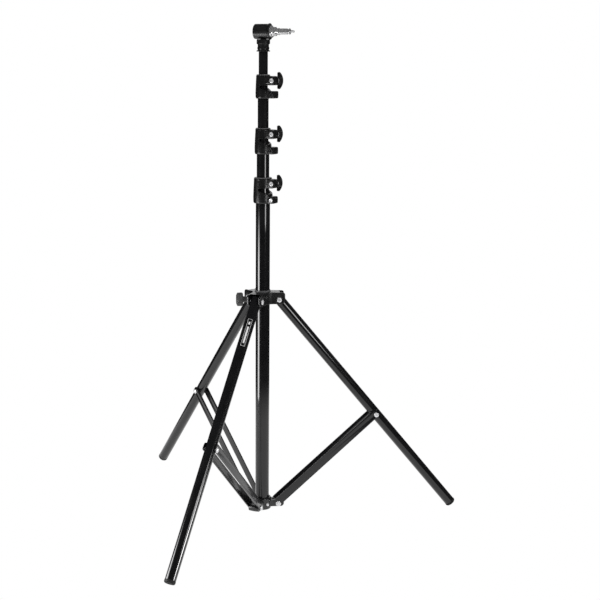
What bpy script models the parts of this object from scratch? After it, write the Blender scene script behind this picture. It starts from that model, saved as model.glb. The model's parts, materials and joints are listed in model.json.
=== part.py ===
# Telescopic lighting stand: four-section column, three braced folding legs,
# split clamping collars with T-knobs, and a horizontal 16 mm spigot head.
# Units in the constants are millimetres; the scene is in metres, +Z up.
# Origin: centre of the column's flat bottom face. +X runs along leg 1.
import bpy
import bmesh
import math
from mathutils import Matrix, Vector

MM = 0.001

# ---------------------------------------------------------------- dimensions
GROUND_Z = -14.8                 # floor height under the spread feet
TUBE_R = (20.0, 17.5, 15.0, 12.5)    # outer radii: base tube, risers 1 to 3
TUBE_WALL = 1.5
SEG = 24                         # facets of a tube

COLLAR_Z = (905.2, 1041.5, 1193.0)   # bottom faces of the three collars
COLLAR_H = (69.6, 69.3, 62.4)
COLLAR_R_LOW = (27.2, 23.6, 21.3)
COLLAR_R_TOP = (25.2, 21.3, 19.4)
COLLAR_AZ = -38.0                # direction the collar lugs point, degrees
LUG_END = 42.0
LUG_HALF = 12.0
LUG_BOLT_X = 34.5
CLAMP_BOLT_DROP = 14.2           # clamp bolt axis below the collar's top
FIX_BOLT_RISE = 10.4             # fixing bolt axis above the collar's bottom
NOTCH_DROP = 26.5                # top face of the relief notch below the top

PIVOT_R, PIVOT_Z = 45.9, 630.8       # leg pivots in the upper hub
LOWER_R, LOWER_Z = 46.4, 16.7        # brace pivots in the lower hub
LEG_ANGLE = 39.57                # leg from the vertical, degrees
LEG_R, LEG_WALL = 15.0, 1.5
LEG_LEN = 825.0                  # pivot to the end of the foot
BRACE_AT = 452.1                 # brace joint along the leg, from the pivot
PLAY_R = 8.2                      # play of the upper pivot hole round its bolt
PLAY_AT = (-2.0, -2.4)
LEG_AZ = (0.0, 120.0, -120.0)

BAR_IN, BAR_OUT = 16.2, 7.3      # bar edges from the bolt line
BAR_T = 3.0
BAR_FACE = 15.8                  # inner face of a bar from the leg's plane

HEAD_AXIS_Z = 1371.8             # axis of the horizontal spigot
HEAD_TOP = 1392.4
HEAD_AZ = -26.0                   # way the spigot points, turned from leg 1

# brace angle and length follow from the closed triangle of each leg
_a = math.radians(LEG_ANGLE)
JOINT_R = PIVOT_R + BRACE_AT * math.sin(_a)
JOINT_Z = PIVOT_Z - BRACE_AT * math.cos(_a)
BRACE_LEN = math.hypot(JOINT_R - LOWER_R, JOINT_Z - LOWER_Z)
BRACE_ANGLE = math.degrees(math.atan2(JOINT_R - LOWER_R, JOINT_Z - LOWER_Z))

# ---------------------------------------------------------------- clean start
for _o in list(bpy.data.objects):
    bpy.data.objects.remove(_o, do_unlink=True)
for _c in list(bpy.data.collections):
    bpy.data.collections.remove(_c)

SCENE = bpy.context.scene
PARTS = bpy.data.collections.new("lighting_stand")
CUTTERS = bpy.data.collections.new("cutters")
AXES = bpy.data.collections.new("joint_axes")
for _c in (PARTS, CUTTERS, AXES):
    SCENE.collection.children.link(_c)


# ---------------------------------------------------------------- materials
def material(name, color, rough, metal, coat=0.0):
    m = bpy.data.materials.new(name)
    m.use_nodes = True
    b = m.node_tree.nodes["Principled BSDF"]
    b.inputs["Base Color"].default_value = (*color, 1.0)
    b.inputs["Roughness"].default_value = rough
    b.inputs["Metallic"].default_value = metal
    b.inputs["Coat Weight"].default_value = coat
    m.diffuse_color = (*color, 1.0)
    return m


FINISH = {
    "tube": ((0.012, 0.012, 0.013), 0.22, 0.0, 0.6),
    "cast": ((0.020, 0.020, 0.021), 0.38, 0.0, 0.2),
    "plastic": ((0.016, 0.016, 0.017), 0.42, 0.0, 0.0),
    "rubber": ((0.014, 0.014, 0.014), 0.75, 0.0, 0.0),
    "zinc": ((0.62, 0.62, 0.64), 0.28, 1.0, 0.0),
    "nylon": ((0.05, 0.05, 0.052), 0.55, 0.0, 0.0),
}


def finish(obj, kind):
    color, rough, metal, coat = FINISH[kind]
    obj.data.materials.clear()
    obj.data.materials.append(material(obj.name + "_" + kind, color, rough, metal, coat))


# ---------------------------------------------------------------- helpers
def rot_z(deg):
    return Matrix.Rotation(math.radians(deg), 4, "Z")


def rot_y(deg):
    return Matrix.Rotation(math.radians(deg), 4, "Y")


def rot_x(deg):
    return Matrix.Rotation(math.radians(deg), 4, "X")


def move(x, y, z):
    return Matrix.Translation((x * MM, y * MM, z * MM))


ALONG_Y = rot_x(-90)             # turns a shape's own Z onto +Y
ALONG_X = rot_y(90)              # turns a shape's own Z onto +X


def axis_empty(name, matrix):
    e = bpy.data.objects.new(name, None)
    e.empty_display_type = "ARROWS"
    e.empty_display_size = 0.03
    AXES.objects.link(e)
    e.matrix_basis = matrix
    return e


def seat(obj, matrix, parent=None):
    """Put an object at a world matrix, held by its joint's empty."""
    if parent is not None:
        obj.parent = parent
        obj.matrix_parent_inverse = parent.matrix_basis.inverted()
    obj.matrix_basis = matrix


def smooth(obj, angle=32.0):
    obj.data.shade_smooth()
    obj.data.set_sharp_from_angle(angle=math.radians(angle))


def turned(name, profile, matrix, coll=PARTS, seg=SEG, closed=False):
    """Solid of revolution: profile of (radius, height) running down its outer side."""
    me = bpy.data.meshes.new(name)
    verts = [(r * MM, 0.0, z * MM) for r, z in profile]
    n = len(verts)
    edges = [(i, i + 1) for i in range(n - 1)]
    if closed:
        edges.append((n - 1, 0))
    me.from_pydata(verts, edges, [])
    obj = bpy.data.objects.new(name, me)
    coll.objects.link(obj)
    s = obj.modifiers.new("Turn", "SCREW")
    s.axis = "Z"
    s.angle = math.tau
    s.steps = seg
    s.render_steps = seg
    s.use_merge_vertices = True
    s.merge_threshold = 0.00002
    s.use_smooth_shade = True
    obj.matrix_basis = matrix
    return obj


def rod(name, r, z0, z1, matrix, coll=PARTS, seg=14):
    return turned(name, [(0, z1), (r, z1), (r, z0), (0, z0)], matrix, coll, seg)


def ring(name, ro, ri, z0, z1, matrix, coll=PARTS, seg=SEG):
    return turned(name, [(ro, z1), (ro, z0), (ri, z0), (ri, z1)], matrix, coll, seg, closed=True)


def block(name, lo, hi, matrix, coll=PARTS):
    me = bpy.data.meshes.new(name)
    bm = bmesh.new()
    bmesh.ops.create_cube(bm, size=1.0)
    for v in bm.verts:
        for k in range(3):
            v.co[k] = (lo[k] + (v.co[k] + 0.5) * (hi[k] - lo[k])) * MM
    bm.to_mesh(me)
    bm.free()
    obj = bpy.data.objects.new(name, me)
    coll.objects.link(obj)
    obj.matrix_basis = matrix
    return obj


def rounded(corners, steps=4):
    """Outline from (x, y, corner radius), counter-clockwise."""
    out = []
    n = len(corners)
    for i in range(n):
        x, y, r = corners[i]
        p = Vector((x, y))
        if r <= 0:
            out.append((x, y))
            continue
        a = (Vector(corners[i - 1][:2]) - p).normalized()
        b = (Vector(corners[(i + 1) % n][:2]) - p).normalized()
        half = math.acos(max(-1.0, min(1.0, a.dot(b)))) / 2
        d = r / math.tan(half)
        c = p + (a + b).normalized() * (r / math.sin(half))
        s, e = p + a * d - c, p + b * d - c
        a0 = math.atan2(s.y, s.x)
        turn = (math.atan2(e.y, e.x) - a0 + math.pi) % math.tau - math.pi
        for k in range(steps + 1):
            t = a0 + turn * k / steps
            out.append((c.x + r * math.cos(t), c.y + r * math.sin(t)))
    return out


def star(end, half, fillet):
    """Plan outline of a three-armed casting, one arm per leg."""
    corners = []
    web = half / math.sin(math.radians(60))
    for az in (0.0, 120.0, 240.0):
        c, s = math.cos(math.radians(az)), math.sin(math.radians(az))
        for x, y in ((end, -half), (end, half)):
            corners.append((x * c - y * s, x * s + y * c, 0))
        t = math.radians(az + 60)
        corners.append((web * math.cos(t), web * math.sin(t), fillet))
    return rounded(corners, 3)


def circle(cx, cy, r, n=16):
    return [(cx + r * math.cos(math.tau * k / n), cy + r * math.sin(math.tau * k / n)) for k in range(n)]


def plate(name, outlines, thick, matrix, coll=PARTS):
    """Flat outline in local XY, thickness along local Z and centred on it."""
    cu = bpy.data.curves.new(name, "CURVE")
    cu.dimensions = "2D"
    cu.fill_mode = "BOTH"
    cu.extrude = thick * MM / 2
    for pts in outlines:
        sp = cu.splines.new("POLY")
        sp.points.add(len(pts) - 1)
        for i, (x, y) in enumerate(pts):
            sp.points[i].co = (x * MM, y * MM, 0.0, 1.0)
        sp.use_cyclic_u = True
    tmp = bpy.data.objects.new(name + "_outline", cu)
    SCENE.collection.objects.link(tmp)
    bpy.context.view_layer.update()
    me = bpy.data.meshes.new_from_object(tmp.evaluated_get(bpy.context.evaluated_depsgraph_get()))
    bpy.data.objects.remove(tmp, do_unlink=True)
    me.name = name
    bm = bmesh.new()
    bm.from_mesh(me)
    bmesh.ops.remove_doubles(bm, verts=bm.verts, dist=0.000005)
    bmesh.ops.recalc_face_normals(bm, faces=bm.faces)
    bm.to_mesh(me)
    bm.free()
    obj = bpy.data.objects.new(name, me)
    coll.objects.link(obj)
    obj.matrix_basis = matrix
    return obj


def hide_cutter(c):
    c.hide_render = True
    c.display_type = "WIRE"


def combine(obj, tool, operation):
    m = obj.modifiers.new(operation.title() + "_" + tool.name, "BOOLEAN")
    m.operation = operation
    m.solver = "EXACT"
    m.object = tool
    hide_cutter(tool)


def cut(obj, tool):
    combine(obj, tool, "DIFFERENCE")


def join(obj, tool):
    combine(obj, tool, "UNION")


def soften(obj, width, segments=1, angle=40.0):
    b = obj.modifiers.new("Edge", "BEVEL")
    b.width = width * MM
    b.segments = segments
    b.limit_method = "ANGLE"
    b.angle_limit = math.radians(angle)


# ---------------------------------------------------------------- column tubes
IDENT = Matrix.Identity(4)
BASE_TOP = COLLAR_Z[0] + 19.0
RISER_BOT = (34.0, 72.0, 110.0)
RISER_TOP = (COLLAR_Z[1] + 19.0, COLLAR_Z[2] + 19.0, 1331.0)

base_tube = ring("base_tube", TUBE_R[0], TUBE_R[0] - TUBE_WALL, 3.0, BASE_TOP, IDENT)
finish(base_tube, "tube")

base_plug = turned("base_plug", [(0, 20), (18.2, 20), (18.2, 2.7), (19.7, 2.7), (19.7, 0), (0, 0)], IDENT)
finish(base_plug, "plastic")

riser_axis = []
for i in range(3):
    r = TUBE_R[i + 1]
    ax = axis_empty("axis_riser_%d" % (i + 1), move(0, 0, RISER_BOT[i]))
    riser_axis.append(ax)
    here = move(0, 0, RISER_BOT[i])
    tube = ring("riser_%d_tube" % (i + 1), r, r - TUBE_WALL, 0.0, RISER_TOP[i] - RISER_BOT[i], IDENT)
    seat(tube, here, ax)
    finish(tube, "tube")
    outer = TUBE_R[i] - TUBE_WALL - 0.25
    guide = turned("riser_%d_guide" % (i + 1),
                   [(outer, 30), (outer, -4.0), (r - 4.5, -4.0), (r - 4.5, -0.4), (r + 0.3, -0.4), (r + 0.3, 30)],
                   IDENT, closed=True)
    seat(guide, here, ax)
    finish(guide, "nylon")


# ---------------------------------------------------------------- collars
def lug_outline(z0, z1, x0, x1, r_top, r_bot):
    return rounded([(x0, z0, 0), (x1, z0, r_bot), (x1, z1, r_top), (x0, z1, 0)], steps=3)


XZ = Matrix(((1, 0, 0, 0), (0, 0, -1, 0), (0, 1, 0, 0), (0, 0, 0, 1)))   # outline XY -> XZ plane

for i in range(3):
    n = i + 1
    h, rl, rt = COLLAR_H[i], COLLAR_R_LOW[i], COLLAR_R_TOP[i]
    low, up = TUBE_R[i], TUBE_R[i + 1]
    liner_out = up + 1.9
    bore_low, bore_up = low + 0.3, liner_out + 0.3
    frame = move(0, 0, COLLAR_Z[i]) @ rot_z(COLLAR_AZ)
    owner = None if i == 0 else riser_axis[i - 1]
    zb = h - CLAMP_BOLT_DROP
    zn = h - NOTCH_DROP

    body = turned("collar_%d_body" % n, [
        (rt, h), (rt + 0.2, h - 1), (0.45 * rt + 0.55 * rl, h * 0.66), (rl, h * 0.25), (rl - 0.4, 3.5), (rl - 2.2, 0),
        (bore_low, 0), (bore_low, 21.5), (bore_up, 21.5), (bore_up, h)], IDENT, closed=True)
    seat(body, frame, owner)
    upper = plate("cut_collar_%d_upper_lug" % n, [lug_outline(zn, h - 1.6, bore_up + 2.0, LUG_END, 8.0, 6.5)],
                  2 * LUG_HALF, frame @ XZ, CUTTERS)
    lower = plate("cut_collar_%d_lower_lug" % n, [lug_outline(0.8, 20.6, bore_low + 2.0, LUG_END, 3.5, 3.5)],
                  2 * LUG_HALF, frame @ XZ, CUTTERS)
    join(body, upper)
    join(body, lower)
    notch = plate("cut_collar_%d_notch" % n,
                  [[(0.5, zn - 6.0), (LUG_END, 20.6), (60.0, 13.4), (60.0, zn), (0.5, zn)]],
                  80.0, frame @ XZ, CUTTERS)
    cut(body, notch)
    slit = block("cut_collar_%d_slit" % n, (5, -0.8, -5), (60, 0.8, h + 5), frame, CUTTERS)
    cut(body, slit)
    hole = rod("cut_collar_%d_clamp_hole" % n, 4.3, -30, 30, frame @ move(LUG_BOLT_X, 0, zb) @ ALONG_Y, CUTTERS, 12)
    cut(body, hole)
    hole = rod("cut_collar_%d_fixing_hole" % n, 3.3, -30, 30, frame @ move(LUG_BOLT_X, 0, FIX_BOLT_RISE) @ ALONG_Y, CUTTERS, 12)
    cut(body, hole)
    finish(body, "plastic")

    liner = turned("collar_%d_liner" % n, [
        (rt - 1.0, h + 2.2), (rt - 0.4, h + 1.6), (rt - 0.4, h + 0.3), (liner_out, h + 0.3), (liner_out, zn + 1.0), (up + 0.3, zn + 1.0), (up + 0.3, h + 2.2)],
        IDENT, closed=True)
    seat(liner, frame, owner)
    finish(liner, "nylon")

    axis = frame @ move(LUG_BOLT_X, 0, zb) @ ALONG_Y
    bolt = turned("collar_%d_clamp_bolt" % n, [
        (0, 26.5), (4.0, 26.5), (4.0, -12.3), (6.6, -12.3), (6.6, -15.6), (5.4, -16.6), (0, -16.6)], IDENT, seg=12)
    seat(bolt, axis, owner)
    finish(bolt, "zinc")

    kax = axis_empty("axis_t_knob_%d" % n, axis)
    washer = ring("collar_%d_washer" % n, 8.5, 4.5, 12.3, 13.5, IDENT, seg=14)
    seat(washer, axis, kax)
    finish(washer, "zinc")

    knob = turned("t_knob_%d" % n, [
        (0, 31.0), (10.6, 31.0), (11.4, 29.5), (11.4, 15.0), (10.4, 13.8), (4.5, 13.8), (4.5, 27.5), (0, 27.5)], IDENT, seg=16)
    seat(knob, axis, kax)
    # bowed wing: crescent in the plane of the knob's axis and the column
    tips = 22.8
    pts = []
    for k in range(7):
        t = -1 + 2 * k / 6
        pts.append((37.4 - 8.6 * t * t, tips * t))
    for k in range(7):
        t = 1 - 2 * k / 6
        pts.append((29.6 - 6.0 * t * t, (tips - 2.0) * t))
    wing = plate("cut_t_knob_%d_wing" % n, [pts], 15.0,
                 axis @ Matrix(((0, 0, 1, 0), (0, 1, 0, 0), (-1, 0, 0, 0), (0, 0, 0, 1))) @ Matrix(((-1, 0, 0, 0), (0, 1, 0, 0), (0, 0, -1, 0), (0, 0, 0, 1))),
                 CUTTERS)
    leaf = [(7.4 * math.cos(math.tau * (k + 0.5) / 16), 24.6 * math.sin(math.tau * (k + 0.5) / 16)) for k in range(16)]
    combine(wing, plate("cut_t_knob_%d_leaf" % n, [leaf], 60.0, axis @ move(0, 0, 30), CUTTERS), "INTERSECT")
    join(knob, wing)
    finish(knob, "plastic")

    fix = turned("collar_%d_fixing_bolt" % n, [
        (0, 12.0), (3.0, 12.0), (3.0, -12.3), (5.6, -12.3), (5.6, -15.4), (4.8, -16.2), (2.4, -16.2), (2.4, -14.0), (0, -14.0)], IDENT, seg=12)
    seat(fix, frame @ move(LUG_BOLT_X, 0, FIX_BOLT_RISE) @ ALONG_Y, owner)
    finish(fix, "zinc")

# ---------------------------------------------------------------- upper hub
hub_axis = axis_empty("axis_leg_hub", move(0, 0, PIVOT_Z))
hub_at = move(0, 0, PIVOT_Z)
HUB_LO, HUB_HI = -12.0, 22.6
CHEEK_IN, CHEEK_OUT = 15.8, 20.6

leg_hub = plate("leg_hub", [star(62.6, CHEEK_OUT, 26.0)], HUB_HI - HUB_LO, IDENT)
seat(leg_hub, hub_at @ move(0, 0, (HUB_LO + HUB_HI) / 2), hub_axis)
envelope = turned("cut_hub_envelope", [(0, HUB_HI + 5), (66.0, HUB_HI + 5)] + [
    (54.6 + 11.4 * math.cos(t), HUB_LO + 10.9 - 11.4 * math.sin(t)) for t in (0.0, 0.4, 0.8, 1.2, 1.5)] + [(0, HUB_LO - 0.5)],
    hub_at, CUTTERS, 30)
combine(leg_hub, envelope, "INTERSECT")
boss = rod("cut_hub_boss", 9.4, 18.0, 44.0, hub_at @ rot_z(180) @ ALONG_X, CUTTERS, 14)
join(leg_hub, boss)
for k, az in enumerate(LEG_AZ):
    slot = block("cut_hub_slot_%d" % (k + 1), (25.6, -CHEEK_IN, -40), (80, CHEEK_IN, 40), hub_at @ rot_z(az), CUTTERS)
    cut(leg_hub, slot)
    hole = rod("cut_hub_hole_%d" % (k + 1), 4.3, -40, 40, hub_at @ rot_z(az) @ move(PIVOT_R, 0, 0) @ ALONG_Y, CUTTERS, 12)
    cut(leg_hub, hole)
    for s in (1, -1):
        pocket = rod("cut_hub_pocket_%d%s" % (k + 1, "a" if s > 0 else "b"), 8.6, 19.6, 30,
                     hub_at @ rot_z(az) @ move(PIVOT_R, 0, 0) @ rot_x(-90 * s), CUTTERS, 14)
        cut(leg_hub, pocket)
bore = rod("cut_hub_bore", 22.9, -60, 60, hub_at, CUTTERS, 24)
cut(leg_hub, bore)
screw_hole = rod("cut_hub_screw_hole", 4.3, 15, 60, hub_at @ rot_z(180) @ ALONG_X, CUTTERS, 12)
cut(leg_hub, screw_hole)
finish(leg_hub, "cast")

liner = ring("leg_hub_liner", 22.6, 20.75, HUB_LO + 1.5, HUB_HI + 4.5, IDENT, seg=28)
seat(liner, hub_at, hub_axis)
cut(liner, rod("cut_liner_pad_hole", 4.3, 15, 30, hub_at @ rot_z(180) @ ALONG_X, CUTTERS, 12))
finish(liner, "nylon")

knob_at = hub_at @ rot_z(180) @ ALONG_X
knob_axis = axis_empty("axis_hub_knob", knob_at)
pad = rod("hub_brake_pad", 3.8, 20.9, 27.0, IDENT, seg=16)
seat(pad, knob_at, knob_axis)
finish(pad, "nylon")
hub_knob = turned("hub_knob", [
    (0, 75.6), (12.0, 75.4), (17.6, 74.4), (19.2, 72.4), (19.4, 58.6), (18.2, 56.8), (6.2, 56.6), (6.2, 44.6), (3.8, 44.6), (3.8, 27.4), (0, 27.4)],
    IDENT, seg=22)
seat(hub_knob, knob_at, knob_axis)
finish(hub_knob, "plastic")

# ---------------------------------------------------------------- lower hub
lower_hub = turned("lower_hub", [(0, 34.5), (24.6, 34.5), (26.0, 32.5), (26.4, 3.0), (25.0, 0.0), (0, 0)], IDENT, seg=24)
tongues = plate("cut_lower_tongues", [star(64.0, 15.4, 9.0)], 18.4, move(0, 0, LOWER_Z), CUTTERS)
combine(tongues, turned("cut_lower_envelope", [(0, 9.6)] + [
    (56.8 + 9.0 * math.sin(t), 9.6 * math.cos(t)) for t in (0.35, 0.75, 1.15, 1.57, 1.99, 2.39, 2.79)] + [(0, -9.6)],
    move(0, 0, LOWER_Z), CUTTERS, 30), "INTERSECT")
join(lower_hub, tongues)
for k, az in enumerate(LEG_AZ):
    cut(lower_hub, rod("cut_lower_hole_%d" % (k + 1), 4.3, -30, 30, rot_z(az) @ move(LOWER_R, 0, LOWER_Z) @ ALONG_Y, CUTTERS, 12))
cut(lower_hub, rod("cut_lower_bore", 20.3, -20, 60, IDENT, CUTTERS, SEG))
cut(lower_hub, rod("cut_set_screw_hole", 2.8, 15, 40, rot_z(-60) @ move(0, 0, LOWER_Z) @ ALONG_X, CUTTERS, 12))
finish(lower_hub, "cast")
set_screw = turned("lower_hub_set_screw", [(0, 30.6), (2.0, 30.6), (4.2, 29.6), (4.6, 28.4), (4.6, 26.8), (2.5, 26.8), (2.5, 20.4), (0, 20.4)],
                   IDENT, seg=16)
seat(set_screw, rot_z(-60) @ move(0, 0, LOWER_Z) @ ALONG_X)
finish(set_screw, "zinc")

# ---------------------------------------------------------------- legs and braces
for k, az in enumerate(LEG_AZ):
    n = k + 1
    leg_at = rot_z(az) @ move(PIVOT_R, 0, PIVOT_Z) @ rot_y(-LEG_ANGLE)
    ax = axis_empty("axis_leg_%d" % n, leg_at)
    tube = ring("leg_%d_tube" % n, LEG_R, LEG_R - LEG_WALL, -LEG_LEN + 8.5, 9.4, IDENT)
    seat(tube, leg_at, ax)
    # the pivot bolt passes through an oversize hole: it is the play of the fold
    cut(tube, rod("cut_leg_%d_pivot" % n, PLAY_R, -30, 30, leg_at @ move(PLAY_AT[0], 0, PLAY_AT[1]) @ ALONG_Y, CUTTERS, 14))
    cut(tube, rod("cut_leg_%d_brace" % n, 3.9, -30, 30, leg_at @ move(0, 0, -BRACE_AT) @ ALONG_Y, CUTTERS, 12))
    finish(tube, "tube")
    plug = turned("leg_%d_plug" % n, [(0, 12.0), (13.4, 12.0), (14.8, 11.0), (14.8, 9.7), (13.2, 9.7), (13.2, -24), (0, -24)], IDENT, seg=SEG)
    seat(plug, leg_at, ax)
    cut(plug, rod("cut_plug_%d_pivot" % n, PLAY_R, -30, 30, leg_at @ move(PLAY_AT[0], 0, PLAY_AT[1]) @ ALONG_Y, CUTTERS, 14))
    finish(plug, "plastic")
    foot = turned("leg_%d_foot" % n, [
        (0, -LEG_LEN + 34), (13.2, -LEG_LEN + 34), (13.2, -LEG_LEN + 8.2), (15.3, -LEG_LEN + 8.2), (15.3, -LEG_LEN + 3.0), (14.4, -LEG_LEN + 0.9),
        (12.0, -LEG_LEN), (0, -LEG_LEN)], IDENT, seg=SEG)
    seat(foot, leg_at, ax)
    finish(foot, "rubber")

    bolt = turned("leg_%d_pivot_bolt" % n, [
        (0, 23.4), (4.6, 23.2), (7.0, 22.2), (7.3, 21.2), (7.3, 19.9), (4.0, 19.9), (4.0, -19.9), (7.3, -19.9), (7.3, -21.2), (7.0, -22.2),
        (4.6, -23.2), (0, -23.4)], IDENT, seg=12)
    seat(bolt, rot_z(az) @ move(PIVOT_R, 0, PIVOT_Z) @ ALONG_Y, hub_axis if k else axis_empty("axis_pivot_bolt_1", leg_at))
    finish(bolt, "zinc")

    brace_at = rot_z(az) @ move(LOWER_R, 0, LOWER_Z) @ rot_y(BRACE_ANGLE)
    ax = axis_empty("axis_brace_%d" % n, brace_at)
    outline = rounded([(BAR_OUT, -8.6, 6.0), (BAR_OUT, BRACE_LEN + 10.0, 6.0), (-BAR_IN, BRACE_LEN + 10.0, 8.0), (-BAR_IN, -8.6, 8.0)], 2)
    for s, tag in ((1, "a"), (-1, "b")):
        bar = plate("brace_%d%s_bar" % (n, tag), [outline, circle(0, 0, 4.3, 12), circle(0, BRACE_LEN, 3.8, 12)], BAR_T, IDENT)
        seat(bar, brace_at @ move(0, s * (BAR_FACE + BAR_T / 2), 0) @ XZ, ax)
        finish(bar, "tube")
    bolt = turned("brace_%d_hub_bolt" % n, [
        (0, 22.0), (5.4, 21.8), (7.6, 21.0), (7.9, 20.2), (7.9, 19.1), (4.0, 19.1), (4.0, -19.1), (7.9, -19.1), (7.9, -20.2), (7.6, -21.0),
        (5.4, -21.8), (0, -22.0)], IDENT, seg=12)
    seat(bolt, rot_z(az) @ move(LOWER_R, 0, LOWER_Z) @ ALONG_Y)
    finish(bolt, "zinc")
    bolt = turned("brace_%d_leg_bolt" % n, [
        (0, 24.2), (4.4, 24.0), (6.6, 23.2), (7.2, 21.8), (7.2, 19.1), (3.5, 19.1), (3.5, -19.1), (7.2, -19.1), (7.2, -21.8), (6.6, -23.2),
        (4.4, -24.0), (0, -24.2)], IDENT, seg=12)
    seat(bolt, rot_z(az) @ move(JOINT_R, 0, JOINT_Z) @ ALONG_Y, ax)
    finish(bolt, "zinc")

# ---------------------------------------------------------------- head
head_axis = axis_empty("axis_head", move(0, 0, RISER_TOP[2]))
neck = turned("head_neck", [
    (17.8, 1351.6), (18.3, 1350.6), (18.3, 1339.4), (17.2, 1338.4), (15.5, 1338.4), (15.4, 1331.5), (16.3, 1329.8), (16.2, 1326.0), (15.5, 1323.4),
    (18.4, 1321.8), (18.4, 1318.6), (12.9, 1318.6), (12.9, 1331.4), (8.0, 1331.4), (8.0, 1351.6)], IDENT, seg=SEG, closed=True)
finish(neck, "plastic")

head_at = move(0, 0, HEAD_AXIS_Z) @ rot_z(HEAD_AZ) @ ALONG_X
body = turned("head_body", [
    (21.4, 20.8), (22.0, 20.2), (22.0, 18.7), (20.5, 17.2), (20.5, -23.0), (18.4, -25.1), (0, -25.1), (0, 4.0), (8.3, 4.0), (8.3, 20.8)],
    IDENT, seg=SEG, closed=True)
seat(body, head_at, head_axis)
cut(body, block("cut_head_flat_bottom", (-60, -60, -60), (18.7, 60, -19.8), move(0, 0, HEAD_AXIS_Z) @ rot_z(HEAD_AZ), CUTTERS))
post = turned("cut_head_post", [(0, -10), (7.7, -10), (7.7, -40.0), (0, -40.0)], move(0, 0, HEAD_AXIS_Z), CUTTERS, 24)
join(body, post)
finish(body, "cast")

spigot = turned("spigot", [
    (0, 88.6), (2.4, 88.6), (3.1, 87.9), (3.1, 77.6), (7.2, 77.6), (8.0, 76.8), (8.0, 74.6), (6.4, 73.6), (6.4, 70.6), (8.0, 69.4), (8.0, 46.8), (9.4, 46.2), (9.4, 44.2),
    (8.2, 43.2), (8.2, 41.0), (12.0, 37.2), (12.0, 30.4), (14.0, 27.8), (16.0, 26.4), (16.0, 21.1), (8.0, 21.1), (8.0, 4.6), (0, 4.6)], IDENT, seg=24)
seat(spigot, head_at, head_axis)
finish(spigot, "zinc")

# ---------------------------------------------------------------- tidy
for o in PARTS.objects:
    smooth(o)
for o in CUTTERS.objects:
    hide_cutter(o)
bpy.context.view_layer.update()
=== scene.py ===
import json
import math

import bmesh
import bpy
from mathutils import Matrix, Vector

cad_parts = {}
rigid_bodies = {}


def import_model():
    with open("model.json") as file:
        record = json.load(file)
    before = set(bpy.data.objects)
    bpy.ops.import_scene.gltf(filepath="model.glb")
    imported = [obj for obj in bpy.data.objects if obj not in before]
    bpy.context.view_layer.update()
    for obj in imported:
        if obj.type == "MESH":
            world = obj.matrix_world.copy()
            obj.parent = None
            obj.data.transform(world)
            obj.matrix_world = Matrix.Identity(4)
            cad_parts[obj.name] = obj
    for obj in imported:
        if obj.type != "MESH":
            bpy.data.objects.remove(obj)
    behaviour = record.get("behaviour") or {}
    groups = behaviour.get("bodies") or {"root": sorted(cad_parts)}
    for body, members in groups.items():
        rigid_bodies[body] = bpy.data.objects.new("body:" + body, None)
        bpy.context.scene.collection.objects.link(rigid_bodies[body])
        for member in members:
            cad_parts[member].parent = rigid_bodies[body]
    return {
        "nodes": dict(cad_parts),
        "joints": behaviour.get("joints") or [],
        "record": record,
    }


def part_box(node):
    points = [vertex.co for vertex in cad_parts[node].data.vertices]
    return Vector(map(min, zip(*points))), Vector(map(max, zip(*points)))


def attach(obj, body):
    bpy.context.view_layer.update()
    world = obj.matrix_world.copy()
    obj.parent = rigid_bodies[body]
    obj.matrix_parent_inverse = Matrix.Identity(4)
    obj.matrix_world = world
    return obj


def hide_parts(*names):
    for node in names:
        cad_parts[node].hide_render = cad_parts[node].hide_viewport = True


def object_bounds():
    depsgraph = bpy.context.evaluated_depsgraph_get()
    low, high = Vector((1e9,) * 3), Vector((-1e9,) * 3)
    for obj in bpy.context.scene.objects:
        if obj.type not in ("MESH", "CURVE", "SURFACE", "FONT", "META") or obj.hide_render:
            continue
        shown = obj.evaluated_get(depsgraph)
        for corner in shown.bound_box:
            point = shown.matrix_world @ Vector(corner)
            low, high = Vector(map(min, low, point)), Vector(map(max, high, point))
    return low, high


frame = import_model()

CAD_LO, CAD_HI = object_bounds()
MM = 0.001
RECORD = frame["record"]
BODY = {n: b for b, ns in RECORD["behaviour"]["bodies"].items() for n in ns}
SLOT = {p["node"]: p["material_slot"] for p in RECORD["subparts"]}
JOINT = {j["name"]: j for j in frame["joints"]}
SCENE = bpy.context.scene
WORK = bpy.data.collections.new("work")
SCENE.collection.children.link(WORK)

# ---------------------------------------------------------------- frame sizes, in millimetres
def lo(node, k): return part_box(node)[0][k] / MM
def hi(node, k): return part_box(node)[1][k] / MM

TUBE_R = [hi("base_tube", 1)] + [hi("riser_%d_tube" % i, 1) for i in (1, 2, 3)]
WALL = 1.5
COLLAR_Z = [lo("collar_%d_body" % i, 2) for i in (1, 2, 3)]
COLLAR_H = [hi("collar_%d_body" % i, 2) - lo("collar_%d_body" % i, 2) for i in (1, 2, 3)]
COLLAR_R_LOW = (27.2, 23.6, 21.3)
COLLAR_R_TOP = (25.2, 21.3, 19.4)
COLLAR_AZ = -38.0
LUG_END, LUG_HALF, LUG_X = 42.0, 12.0, 34.5

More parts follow.
